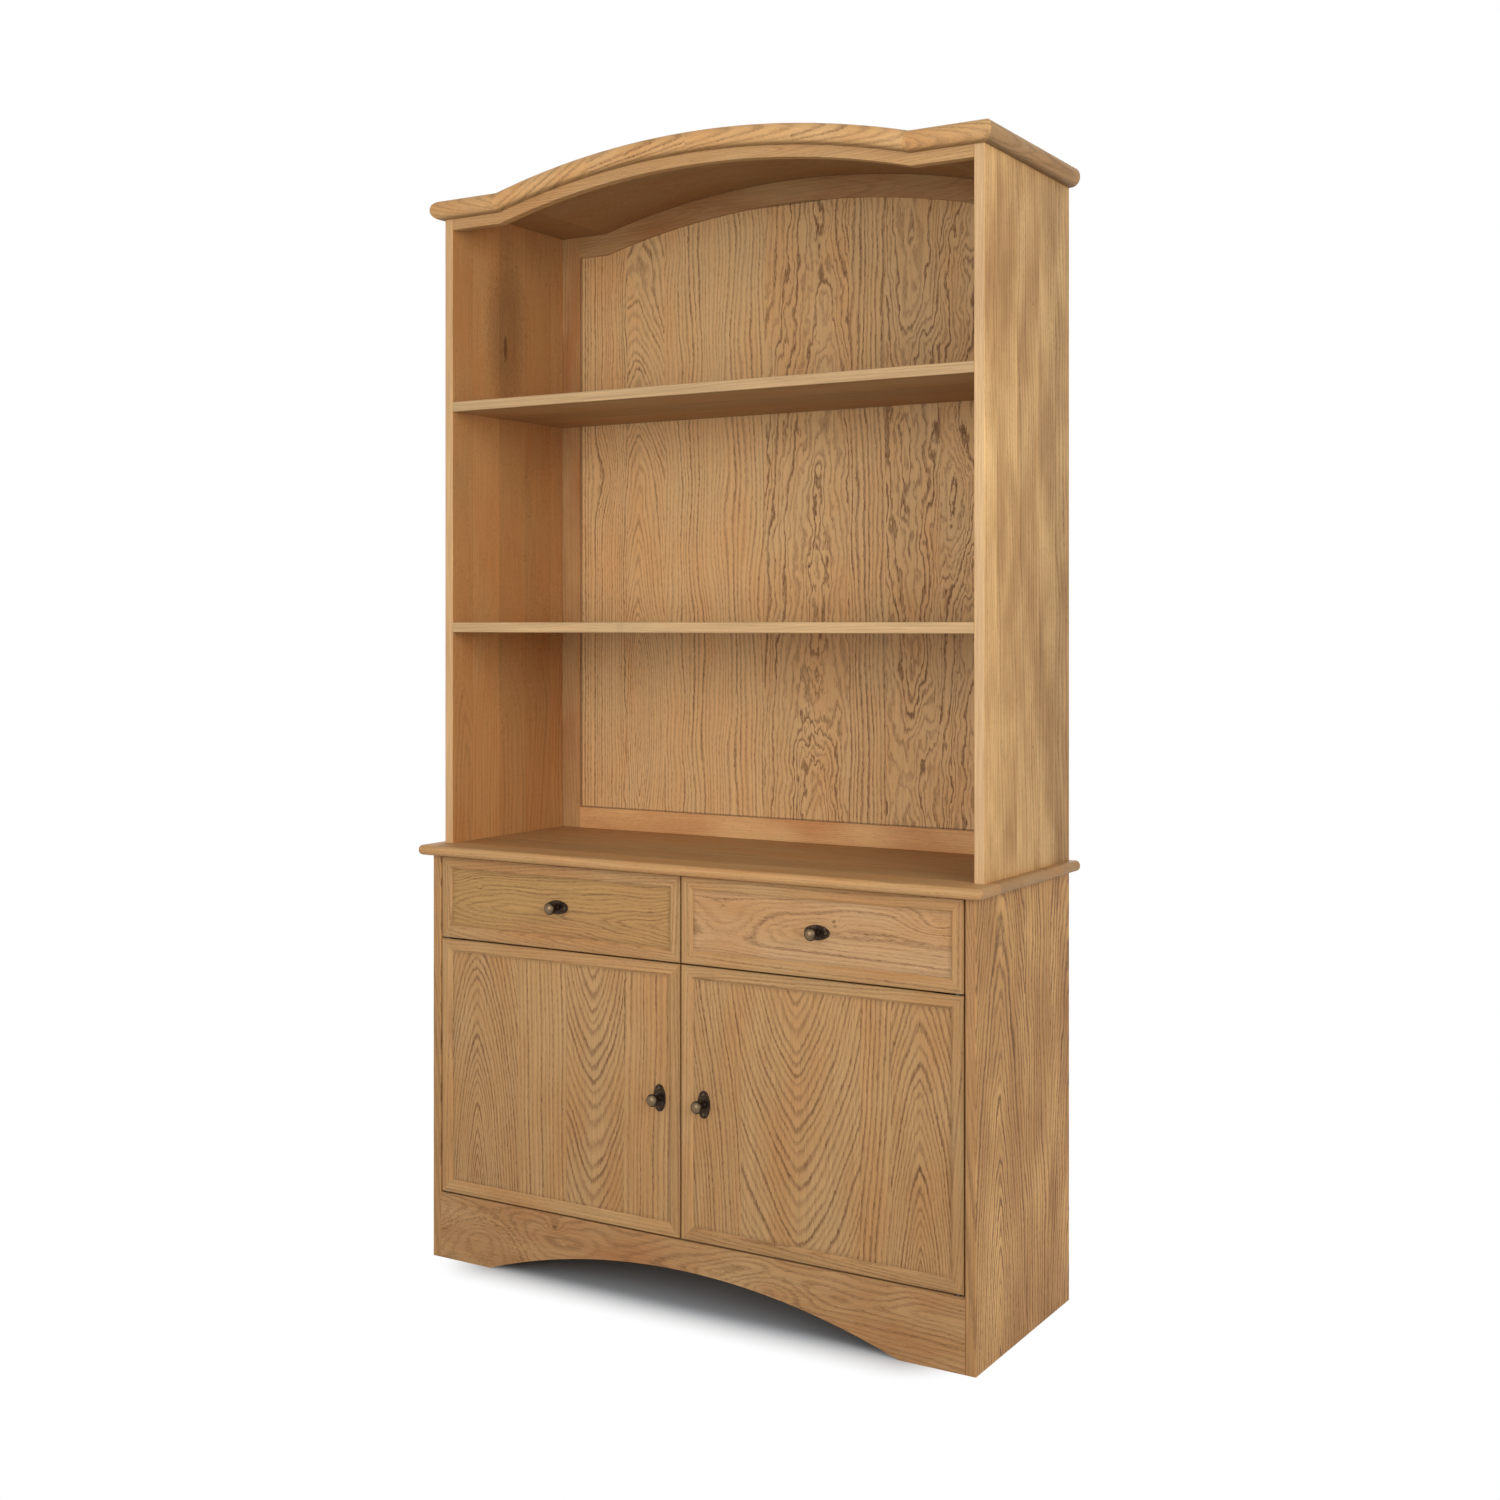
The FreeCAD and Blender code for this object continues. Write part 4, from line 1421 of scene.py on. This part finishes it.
@dataclass
class Studio:
    """The floor, the light and the camera.

    Attributes:
        camera_place: Where the camera stands, in metres.
        camera_turn: Its turn to the left of straight on, in degrees.
        lens: Its focal length, in millimetres.
        sensor: Width of its sensor, in millimetres.
        view_end: How far it sees, in metres.
        shift: How far the picture is moved to the right and up, as a share.
        floor_half: Half the floor's side, in metres.
        footprint: Half the base's width and depth, in millimetres.
        contact_end: How far from the footprint the floor is darker.
        fade: Where the floor starts to fade into the background, and where it ends.
        ambient: Level of the light from all round.
        lamps: The soft boxes.
    """

    camera_place: Place = (1.893, -3.092, 1.270)
    camera_turn: float = 31.08
    lens: float = 44.8
    sensor: float = 36.0
    view_end: float = 200.0
    shift: tuple[float, float] = (0.0005, -0.0834)
    floor_half: float = 30.0
    footprint: tuple[float, float] = (440.0, 150.0)
    painted_shadow_end: float = 90.0
    fade: tuple[float, float] = (15.0, 145.0)
    ambient: float = 0.47
    lamps: tuple[Lamp, ...] = (
        Lamp("key", (-0.1, -2.7, 1.52), (0.0, 0.0, 1.3), 1.8, 10.7, 90.0),
        Lamp("side", (3.6, -2.2, 2.2), (0.3, 0.0, 1.2), 2.2, 71.0, 180.0),
        Lamp("back", (-1.4, 3.4, 3.1), (0.0, 0.2, 1.5), 2.2, 80.0, 180.0),
    )

    # Floor colour of the painted shadow next to the base.
    PAINTED_SHADOW_GREY = (0.38, 0.40, 0.42, 1.0)
    FLOOR_GREY = (0.66, 0.69, 0.72, 1.0)

    def build(self) -> None:
        """Make the floor, the light and the camera."""
        self._floor()
        self._world()
        for lamp in self.lamps:
            lamp.hang()
        self._camera()
        LOG.info("studio: floor, %d lamps and camera", len(self.lamps))

    def _camera(self) -> None:
        """Place the camera at the photograph's angle."""
        turn = (math.radians(90.0), 0.0, math.radians(self.camera_turn))
        bpy.ops.object.camera_add(location=self.camera_place, rotation=turn)
        camera = bpy.context.active_object
        camera.data.sensor_width = self.sensor
        camera.data.lens = self.lens
        camera.data.shift_x, camera.data.shift_y = self.shift
        camera.data.clip_end = self.view_end
        bpy.context.scene.camera = camera

    def _world(self) -> None:
        """Light from all round, and a white background for the camera and gloss."""
        world = bpy.data.worlds.new("studio")
        bpy.context.scene.world = world
        world.use_nodes = True
        graph = Graph(world.node_tree)
        level = self._seen(graph).span(self.ambient, 1.0)
        sky = graph.node("ShaderNodeBackground", {}, {"Color": WHITE, "Strength": level})
        graph.node("ShaderNodeOutputWorld", {}, {"Surface": sky})

    def _floor(self) -> None:
        """A pale floor that fades into the white background."""
        bpy.ops.object.select_all(action="DESELECT")
        bpy.ops.mesh.primitive_plane_add(size=2.0 * self.floor_half)
        floor = bpy.context.active_object
        floor.name = "floor"
        made = bpy.data.materials.new("studio_floor")
        made.use_nodes = True
        graph = Graph(made.node_tree)
        x, y, _ = graph.object_place()
        side = (x.magnitude() - self.footprint[0]).most(0.0)
        front = (y.magnitude() - self.footprint[1]).most(0.0)
        distance = (side * side + front * front).root()
        far = distance.rise(*self.fade) * self._seen(graph)
        # Painted shadow: the floor's colour darkens towards the base's footprint.
        away = distance.rise(0.0, self.painted_shadow_end)
        near = graph.blend(away, self.PAINTED_SHADOW_GREY, self.FLOOR_GREY)
        matt = graph.node("ShaderNodeBsdfDiffuse", {}, {"Color": near})
        glow = graph.node("ShaderNodeEmission", {}, {"Color": WHITE, "Strength": 1.0})
        mixed = graph.node("ShaderNodeMixShader", {}, {0: far, 1: matt, 2: glow})
        graph.node("ShaderNodeOutputMaterial", {}, {"Surface": mixed})
        floor.data.materials.append(made)

    @staticmethod
    def _seen(graph: Graph) -> Signal:
        """1 for what the camera sees, straight or in gloss or glass."""
        path = graph.node("ShaderNodeLightPath", {}, {}, "Is Camera Ray")
        return path.most(path.other("Is Glossy Ray")).most(path.other("Is Transmission Ray"))


FRAME_LOOK = {"weight": 0.75, "wander": 2.0, "tone": 0.88}
FRAME_RIM = (0.0, 9.0, 0.14)
# Painted shade along the panels' border, where they sink under their frames.
PANEL_PAINTED_SHADE = (6.0, 15.0, 0.16)
FRONT_ARRIS = 1.1
BOARD_ARRIS = 1.0


@dataclass
class Door:
    """A mitred frame-and-panel door.

    Attributes:
        side: Which door it is.
        leaves: Its panel's leaves of veneer.
        leaf_screws: How far the pivot leaves' screws are from the middle.
        strike_screws: Where the strike's screws are, across its middle.
    """

    side: Side
    leaves: tuple[Leaf, ...]
    leaf_screws: tuple[float, float] = (521.0, 541.0)
    strike_screws: tuple[float, float] = (-4.5, 4.5)

    PANEL_LOOK = {"tone": 0.88, "ring": 4.0, "weight": 1.45, "wander": 3.0, "flame": 1.6}

    @property
    def body(self) -> str:
        """The body that the door rides on."""
        return "door_" + self.side.word

    def build(self) -> None:
        """Make the door's frame and dress its panel and fittings."""
        seed = 11.0 + 7.0 * self.side.value
        look = {"seed": seed, "rim": Rim(self.body + "_stiles", *FRAME_RIM), **FRAME_LOOK}
        runs = (("stiles", Run.STILE, Axis.X, seed), ("rails", Run.RAIL, Axis.Z, seed + 3.0))
        for name, run, across, choice in runs:
            node = f"{self.body}_{name}"
            staves = Staves(extent(node)[across.value] / 2.0, choice, shift=0.0)
            board = EasedBoard(node, self.body, FRONT_ARRIS, mitred=True)
            board.build(timber(node, run, staves, **look))
        panel = self.body + "_panel"
        look = {"seed": seed + 5.0, "rim": Rim(panel, *PANEL_PAINTED_SHADE), **self.PANEL_LOOK}
        veneer = Veneer(extent(panel)[0], self.leaves)
        dress_node(panel, timber(panel, Run.STILE, veneer, **look))
        self._fittings()
        LOG.info("%s: frame, panel, pivots and strike", self.body)

    def _fittings(self) -> None:
        """The screwed pivot leaves and the strike."""
        leaves = self.body + "_pivot_leaves"
        low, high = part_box(leaves)
        depth = (low.y + high.y) / 2.0 * MILLIMETRES
        screws = [
            Screw((self.side.value * reach, depth, height * MILLIMETRES), (0.0, 0.0, out))
            for height, out in ((low.z, -1.0), (high.z, 1.0))
            for reach in self.leaf_screws
        ]
        Fitting(leaves, self.body, FLAT_HEAD).build(PIVOT_STEEL, screws, PIVOT_STEEL)
        strike = self.body + "_strike"
        across, _, height = middle(strike)
        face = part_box(strike)[1].y * MILLIMETRES
        screws = [Screw((across + offset, face, height), BACK) for offset in self.strike_screws]
        Fitting(strike, self.body, SMALL_HEAD).build(Steel(), screws, Steel())


@dataclass
class Drawer:
    """A drawer with a mitred frame-and-panel front and a dovetailed box.

    Attributes:
        side: Which drawer it is.
        knots: Knots in its panel.
        tone: Level of the panel's colour.
        pale: Colour of the panel's lighter wood.
    """

    side: Side
    knots: tuple[Knot, ...]
    tone: float
    pale: Colour

    PANEL_LOOK = {"weight": 0.95, "wander": 8.0, "flame": 2.0}
    BOX_LOOK = {
        "pale": paint(226, 195, 148),
        "warm": paint(212, 175, 125),
        "line": paint(172, 136, 92),
        "weight": 0.4,
    }
    BOX_RUNS = {"box_sides": Run.RUNNER, "box_ends": Run.RAIL, "box_bottom": Run.SHELF}

    @property
    def body(self) -> str:
        """The body that the drawer rides on."""
        return "drawer_" + self.side.word

    def build(self) -> None:
        """Make the drawer's front and dress its box."""
        seed = 31.0 + 5.0 * self.side.value
        front = self.body + "_front_frame"
        look = {"seed": seed, "rim": Rim(front, *FRAME_RIM), **FRAME_LOOK}
        board = EasedBoard(front, self.body, FRONT_ARRIS, mitred=True, joined=True)
        board.build(Timber(MitredGrain(front), Staves(600.0, seed), **look))
        panel = self.body + "_front_panel"
        staves = Staves(400.0, seed, heart_span=40.0, slope_span=0.06)
        look = {"seed": seed + 5.0, "rim": Rim(panel, *PANEL_PAINTED_SHADE), **self.PANEL_LOOK}
        look |= {"pale": self.pale, "tone": self.tone, "knots": self.knots}
        dress_node(panel, timber(panel, Run.RAIL, staves, **look))
        for name, run in self.BOX_RUNS.items():
            node = f"{self.body}_{name}"
            dress_node(node, timber(node, run, Staves(150.0, seed), **self.BOX_LOOK))
        LOG.info("%s: front and box", self.body)


@dataclass
class Knob:
    """A turned knob on an oval plate with two screws.

    Attributes:
        body: The body it rides on.
        upright: Whether the plate stands upright.
        seed: Moves the metal's noise.
        screw_gap: Distance between the screws.
        screw_turn: Turn of their slots, in degrees.
        wear: How deep the wear goes and its share, for the knob and the plate.
        screw_wear: The same for the screws.
        screw_proud: How far the screws' worn tops stand over the plate.
    """

    body: str
    upright: bool
    seed: float
    screw_gap: float = 37.0
    screw_turn: float = 45.0
    wear: tuple[tuple[float, float], ...] = ((9.0, 0.75), (1.2, 0.28))
    screw_wear: tuple[float, float] = (2.0, 0.5)
    screw_proud: float = 1.0

    def build(self) -> None:
        """Dress the knob and its plate, and put two domed screws in the plate."""
        for name, wear in zip(("knob", "knob_plate"), self.wear):
            node = f"{self.body}_{name}"
            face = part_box(node)[0].y * MILLIMETRES
            dress_node(node, Bronze(middle(node), face, *wear, self.seed))
        worn = face - self.screw_proud
        finish = Bronze(middle(node), worn, *self.screw_wear, self.seed)
        low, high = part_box(node)
        centre = (low + high) / 2.0
        run = UP if self.upright else Vector((1.0, 0.0, 0.0))
        for number in range(2):
            offset = self.screw_gap * (number - 0.5) * MILLIMETRE
            place = Vector((centre.x, low.y, centre.z)) + run * offset
            name = f"{self.body}_plate_screw_{number + 1}"
            screw = TRAY.take(DOMED_HEAD, name, place, Vector(FRONT), self.screw_turn)
            dress(screw, finish)
            place_piece(screw, self.body, "bronze")
        LOG.info("%s: knob and screws", self.body)


@dataclass
class BaseCabinet:
    """The cabinet under the worktop.

    Attributes:
        lip: How far the front edges' strip reaches back.
        pivot_reach: How far the pivots' screws are from the middle.
        upper_pivots: The rows of the upper pivots' screws, and the height of their face.
        lower_pivots: The same for the lower pivots.
        catch_reach: How far the catches' screws are from the middle.
        catch_rows: The rows of the catches' screws.
    """

    lip: float = 0.4
    pivot_reach: float = 560.0
    upper_pivots: tuple[float, float, float] = (-160.0, -147.0, 643.3)
    lower_pivots: tuple[float, float, float] = (-181.0, -170.0, 131.0)
    catch_reach: float = 14.0
    catch_rows: tuple[float, float] = (-167.0, -156.0)

    SIDE_LOOK = {
        "pale": paint(208, 160, 99),
        "warm": paint(190, 136, 78),
        "ring": 5.0,
        "weight": 1.9,
        "flame": 5.0,
        "tone": 0.97,
        "cloud": -0.8,
    }
    # Painted shade: the base's front edges are coloured darker than the hutch's, as the lower
    # cabinet gets less light.
    SIDE_EDGE = paint(163, 121, 81)
    APRON_LOOK = {
        "warm": paint(172, 118, 72),
        "tone": 0.86,
        "ring": 4.0,
        "weight": 1.1,
        "wander": 10.0,
        "flame": 3.0,
        "knots": (
            Knot(-8.0, -470.0, 17.0, 0.0, 2.2),
            Knot(40.0, -290.0, 5.0, 0.6),
            Knot(10.0, 180.0, 9.0, 0.0, 3.0),
        ),
    }
    TOP_LOOK = {"weight": 0.75, "tone": 0.88, "spread": 0.1, "cloud": 0.6}
    PLY_LOOK = {"pale": paint(206, 168, 116), "warm": paint(190, 148, 98), "weight": 0.5}
    DRESSED = {
        "worktop": (Run.SHELF, Staves(95.0, 21.0, slope_span=0.03, joint=0.2), TOP_LOOK),
        "base_floor": (Run.SHELF, Staves(120.0, 40.0), {"weight": 0.45}),
        "drawer_rails": (Run.SHELF, Staves(120.0, 41.0), {"weight": 0.45}),
        "worktop_stretchers": (Run.SHELF, Staves(120.0, 42.0), {"weight": 0.45}),
        "inner_shelf": (Run.SHELF, Staves(120.0, 43.0), {"weight": 0.45}),
        "rear_rail": (Run.RAIL, Staves(200.0, 47.0), {"weight": 0.45}),
        "drawer_divider": (Run.RUNNER, Staves(200.0, 48.0), {"weight": 0.45}),
        "drawer_runners": (Run.RUNNER, Staves(200.0, 49.0), {"weight": 0.4}),
        "base_back_panel": (Run.STILE, Staves(230.0, 50.0, slope_span=0.04), PLY_LOOK),
    }

    def build(self) -> None:
        """Make the sides and the apron, and dress the other boards."""
        for side in Side:
            node = "base_side_" + side.word
            look = {"seed": 3.0 + side.value, **self.SIDE_LOOK}
            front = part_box(node)[0].y * MILLIMETRES
            look["lip"] = Lip(front + self.lip, self.SIDE_EDGE, 0.85)
            veneer = Veneer(extent(node)[1], BASE_SIDE_LEAVES)
            board = EasedBoard(node, "root", BOARD_ARRIS)
            board.build(timber(node, Run.SIDE, veneer, **look))
        node = "arched_apron"
        staves = Staves(400.0, 8.0, slope_span=0.03)
        board = EasedBoard(node, "root", BOARD_ARRIS)
        board.build(timber(node, Run.RAIL, staves, **self.APRON_LOOK))
        for node, (run, staves, look) in self.DRESSED.items():
            dress_node(node, timber(node, run, staves, **look))
        dress_node("shelf_studs", Steel())
        self._fittings()
        LOG.info("base cabinet: boards and fittings")

    def _fittings(self) -> None:
        """The screwed pivots and catches."""
        pivots = {"upper_pivots": self.upper_pivots, "lower_pivots": self.lower_pivots}
        for node, (*rows, face) in pivots.items():
            screws = on_both_sides(self.pivot_reach, [(row, face) for row in rows], (0.0, 0.0, 1.0))
            Fitting(node, "root", FLAT_HEAD).build(PIVOT_STEEL, screws, PIVOT_STEEL)
        node = "door_catches"
        points = [(row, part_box(node)[0].z * MILLIMETRES) for row in self.catch_rows]
        screws = on_both_sides(self.catch_reach, points, (0.0, 0.0, -1.0))
        Fitting(node, "root", SMALL_HEAD, "catch_plastic").build(Moulded(), screws, Steel())


@dataclass
class Hutch:
    """The open hutch with its arched cornice.

    Attributes:
        front: Where the boards' front edges lie.
        side_lip: How far the strip on the sides' edges reaches back.
        shelf_lip: The same for the shelves.
        cornice_radius: Radius of the cornice's arch.
        cornice_crown: Height of its top.
        cornice_half_chord: Half its width.
        cornice_segments: Number of its segments.
        cornice_height: Height of the moulding.
        cornice_foot: Height of the shoulders' lower edge.
        cornice_lean: How far the grain leans in the segments, in degrees.
        shoulder_lean: The same in the shoulders.
        tie_reach: How far the tie plates' screws are from the middle.
        tie_heights: Heights of these screws.
    """

    front: float = -162.0
    side_lip: float = 0.4
    shelf_lip: float = 3.0
    cornice_radius: float = 1755.2
    cornice_crown: float = 2190.0
    cornice_half_chord: float = 455.0
    cornice_segments: int = 4
    cornice_height: float = 38.0
    cornice_foot: float = 2092.0
    cornice_lean: float = -17.0
    shoulder_lean: float = -18.0
    tie_reach: float = 585.0
    tie_heights: tuple[float, ...] = (761.0, 790.0, 846.0, 875.0)

    SIDE_LOOKS = {
        Side.LEFT: {
            "pale": paint(204, 154, 98),
            "warm": paint(184, 128, 76),
            "weight": 0.5,
            "spread": 0.12,
            "cloud": 0.6,
            # The second, broad knot is painted shade near the top of the side, in the upper bay.
            "knots": (Knot(-24.0, 380.0, 9.0, 0.85, 4.5), Knot(-20.0, 420.0, 75.0, 0.42, 2.6)),
        },
        Side.RIGHT: {
            "pale": paint(212, 170, 112),
            "warm": paint(190, 140, 84),
            "weight": 0.8,
            "spread": 0.2,
            "cloud": -1.0,
            "knots": (Knot(19.0, 376.0, 2.6), Knot(19.0, -422.0, 2.6)),
        },
    }
    SIDE_EDGES = {Side.LEFT: paint(210, 173, 127), Side.RIGHT: paint(200, 167, 127)}
    LEFT_STAVES = Staves(
        88.0, 59.0, slope_span=0.02, heart_span=140.0, depth_least=60.0, joint=0.3
    )
    SHELF_EDGE = paint(216, 183, 138)
    # The shelves' low tones darken them as painted shade of their undersides; their front edges
    # keep the strip's lighter colour.
    SHELF_LOOKS = {
        "hutch_shelf_lower": {"tone": 0.78, "knots": (Knot(-186.0, -162.0, 6.0, 0.3, 2.0),)},
        "hutch_shelf_upper": {"tone": 0.70},
    }
    BACK_FRAME = {
        "hutch_back_stiles": (Run.STILE, Staves(600.0, 80.0, shift=0.0), 0.96),
        "hutch_back_top_rail": (Run.RAIL, Staves(400.0, 81.0), 0.78),
        "hutch_back_bottom_rail": (Run.RAIL, Staves(400.0, 82.0), 1.3),
    }
    BACK_LOOK = {
        "pale": paint(206, 169, 119),
        "warm": paint(189, 145, 96),
        "seed": 84.0,
        "tone": 1.16,
        "cloud": 0.55,
        "ring": 4.4,
        "weight": 1.4,
        "wander": 9.0,
        "flame": 8.0,
        # Painted shadow: a dark line along the panel's border, where it sinks into its frame.
        "rim": Rim("hutch_back_panel", 8.8, 10.8, 0.5),
        "knots": (
            Knot(-458.0, 96.0, 13.0, 0.0, 2.4),
            Knot(62.0, -420.0, 11.0, 0.0, 3.0),
            Knot(370.0, -20.0, 12.0, 0.0, 4.0),
        ),
    }

    def build(self) -> None:
        """Make the sides, shelves, back and cornice."""
        self._sides()
        self._shelves()
        self._back()
        self._cornice()
        node = "hutch_tie_plates"
        points = [(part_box(node)[1].y * MILLIMETRES, height) for height in self.tie_heights]
        screws = on_both_sides(self.tie_reach, points, BACK)
        Fitting(node, "root", FLAT_HEAD).build(Steel(), screws, Steel())
        LOG.info("hutch: boards, back and cornice")

    @staticmethod
    def _board(node: str, run: Run, leaves: Staves | Veneer, **look: Any) -> None:
        """Make an eased board.

        Args:
            node: Its node.
            run: How its grain runs.
            leaves: How it is made up.
            **look: Other values of the timber.
        """
        EasedBoard(node, "root", BOARD_ARRIS).build(timber(node, run, leaves, **look))

    def _sides(self) -> None:
        """A side of staves on the left and one of veneer on the right."""
        for side in Side:
            node = "hutch_side_" + side.word
            left = side is Side.LEFT
            leaves = self.LEFT_STAVES if left else Veneer(extent(node)[1], HUTCH_SIDE_LEAVES)
            look = {"seed": 60.0 + side.value, "ring": 4.4, **self.SIDE_LOOKS[side]}
            look["lip"] = Lip(self.front + self.side_lip, self.SIDE_EDGES[side], 0.85)
            self._board(node, Run.SIDE, leaves, **look)

    def _shelves(self) -> None:
        """The two shelves, the front rail and the roof."""
        lip = Lip(self.front + self.shelf_lip, self.SHELF_EDGE, 0.45)
        for seed, (node, look) in enumerate(self.SHELF_LOOKS.items(), 70):
            staves = Staves(110.0, seed, joint=0.25)
            self._board(node, Run.SHELF, staves, weight=0.6, lip=lip, **look)
        self._board("hutch_front_rail", Run.RAIL, Staves(400.0, 73.0), weight=0.55, tone=0.96)
        # The roof's low tone darkens it as painted shade of the ceiling.
        node = "hutch_roof"
        dress_node(node, timber(node, Run.SHELF, Staves(130.0, 74.0), weight=0.6, tone=0.62))

    def _back(self) -> None:
        """The back's frame and panel."""
        warm = paint(170, 116, 70)
        for node, (run, staves, tone) in self.BACK_FRAME.items():
            self._board(node, run, staves, warm=warm, weight=0.4, tone=tone)
        node = "hutch_back_panel"
        veneer = Veneer(extent(node)[0], HUTCH_BACK_LEAVES)
        dress_node(node, timber(node, Run.STILE, veneer, **self.BACK_LOOK))

    def _cornice(self) -> None:
        """The arch's segments, the shoulders and the returns."""
        radius, crown = self.cornice_radius, self.cornice_crown
        arch = Timber(
            ArchGrain(
                radius, crown, self.cornice_half_chord, self.cornice_segments, self.cornice_lean
            ),
            Staves(radius, 90.0, heart_span=20.0),
            seed=90.0,
            ring=5.0,
            spread=0.02,
            tone=1.26,
            # Painted shade along the arch's foot, where it meets the rail.
            foot_shade=PaintedFootShade(crown - self.cornice_height - radius, radius),
        )
        dress_node("cornice_arch", arch)
        # Painted shade along the foot of the shoulders and the returns.
        look = {"ring": 5.0, "foot_shade": PaintedFootShade(None, self.cornice_foot)}
        node = "cornice_shoulders"
        grain = StraightGrain(node, Run.RAIL, self.shoulder_lean)
        dress_node(node, Timber(grain, Staves(900.0, 92.0), seed=92.0, tone=1.14, **look))
        node = "cornice_returns"
        dress_node(node, timber(node, Run.RUNNER, Staves(900.0, 93.0), tone=0.77, **look))


LEFT_DRAWER_KNOTS = (Knot(22.0, -190.0, 2.2, 0.7),)
RIGHT_DRAWER_KNOTS = (
    Knot(22.0, 34.0, 3.4, 0.55),
    Knot(14.0, 36.0, 3.0, 0.5),
    Knot(30.0, 235.0, 9.0, 0.0, 2.6),
    Knot(4.0, -190.0, 10.0, 0.0, 3.5),
)
FRONTS = (
    Door(Side.LEFT, LEFT_DOOR_LEAVES),
    Drawer(Side.LEFT, LEFT_DRAWER_KNOTS, 0.82, paint(204, 160, 98)),
    Door(Side.RIGHT, RIGHT_DOOR_LEAVES),
    Drawer(Side.RIGHT, RIGHT_DRAWER_KNOTS, 0.92, paint(206, 164, 118)),
)


def clear_starting_objects() -> None:
    """Remove what Blender's own starting scene holds."""
    ours = set(frame["nodes"].values()) | set(frame["bodies"].values())
    for thing in list(bpy.data.objects):
        if thing not in ours and thing.type in {"MESH", "LIGHT", "CAMERA"}:
            bpy.data.objects.remove(thing, do_unlink=True)


def main() -> None:
    """Build the sideboard and the studio round it."""
    logging.basicConfig(level=logging.INFO, format="%(name)s: %(message)s")
    clear_starting_objects()
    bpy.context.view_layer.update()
    bpy.context.scene.view_settings.view_transform = "Standard"
    Studio().build()
    BaseCabinet().build()
    for front in FRONTS:
        front.build()
        upright = isinstance(front, Door)
        seed = (1.0 if upright else 4.0) + front.side.value
        Knob(front.body, upright, seed).build()
    Hutch().build()
    TRAY.empty()


if __name__ == "__main__":
    main()
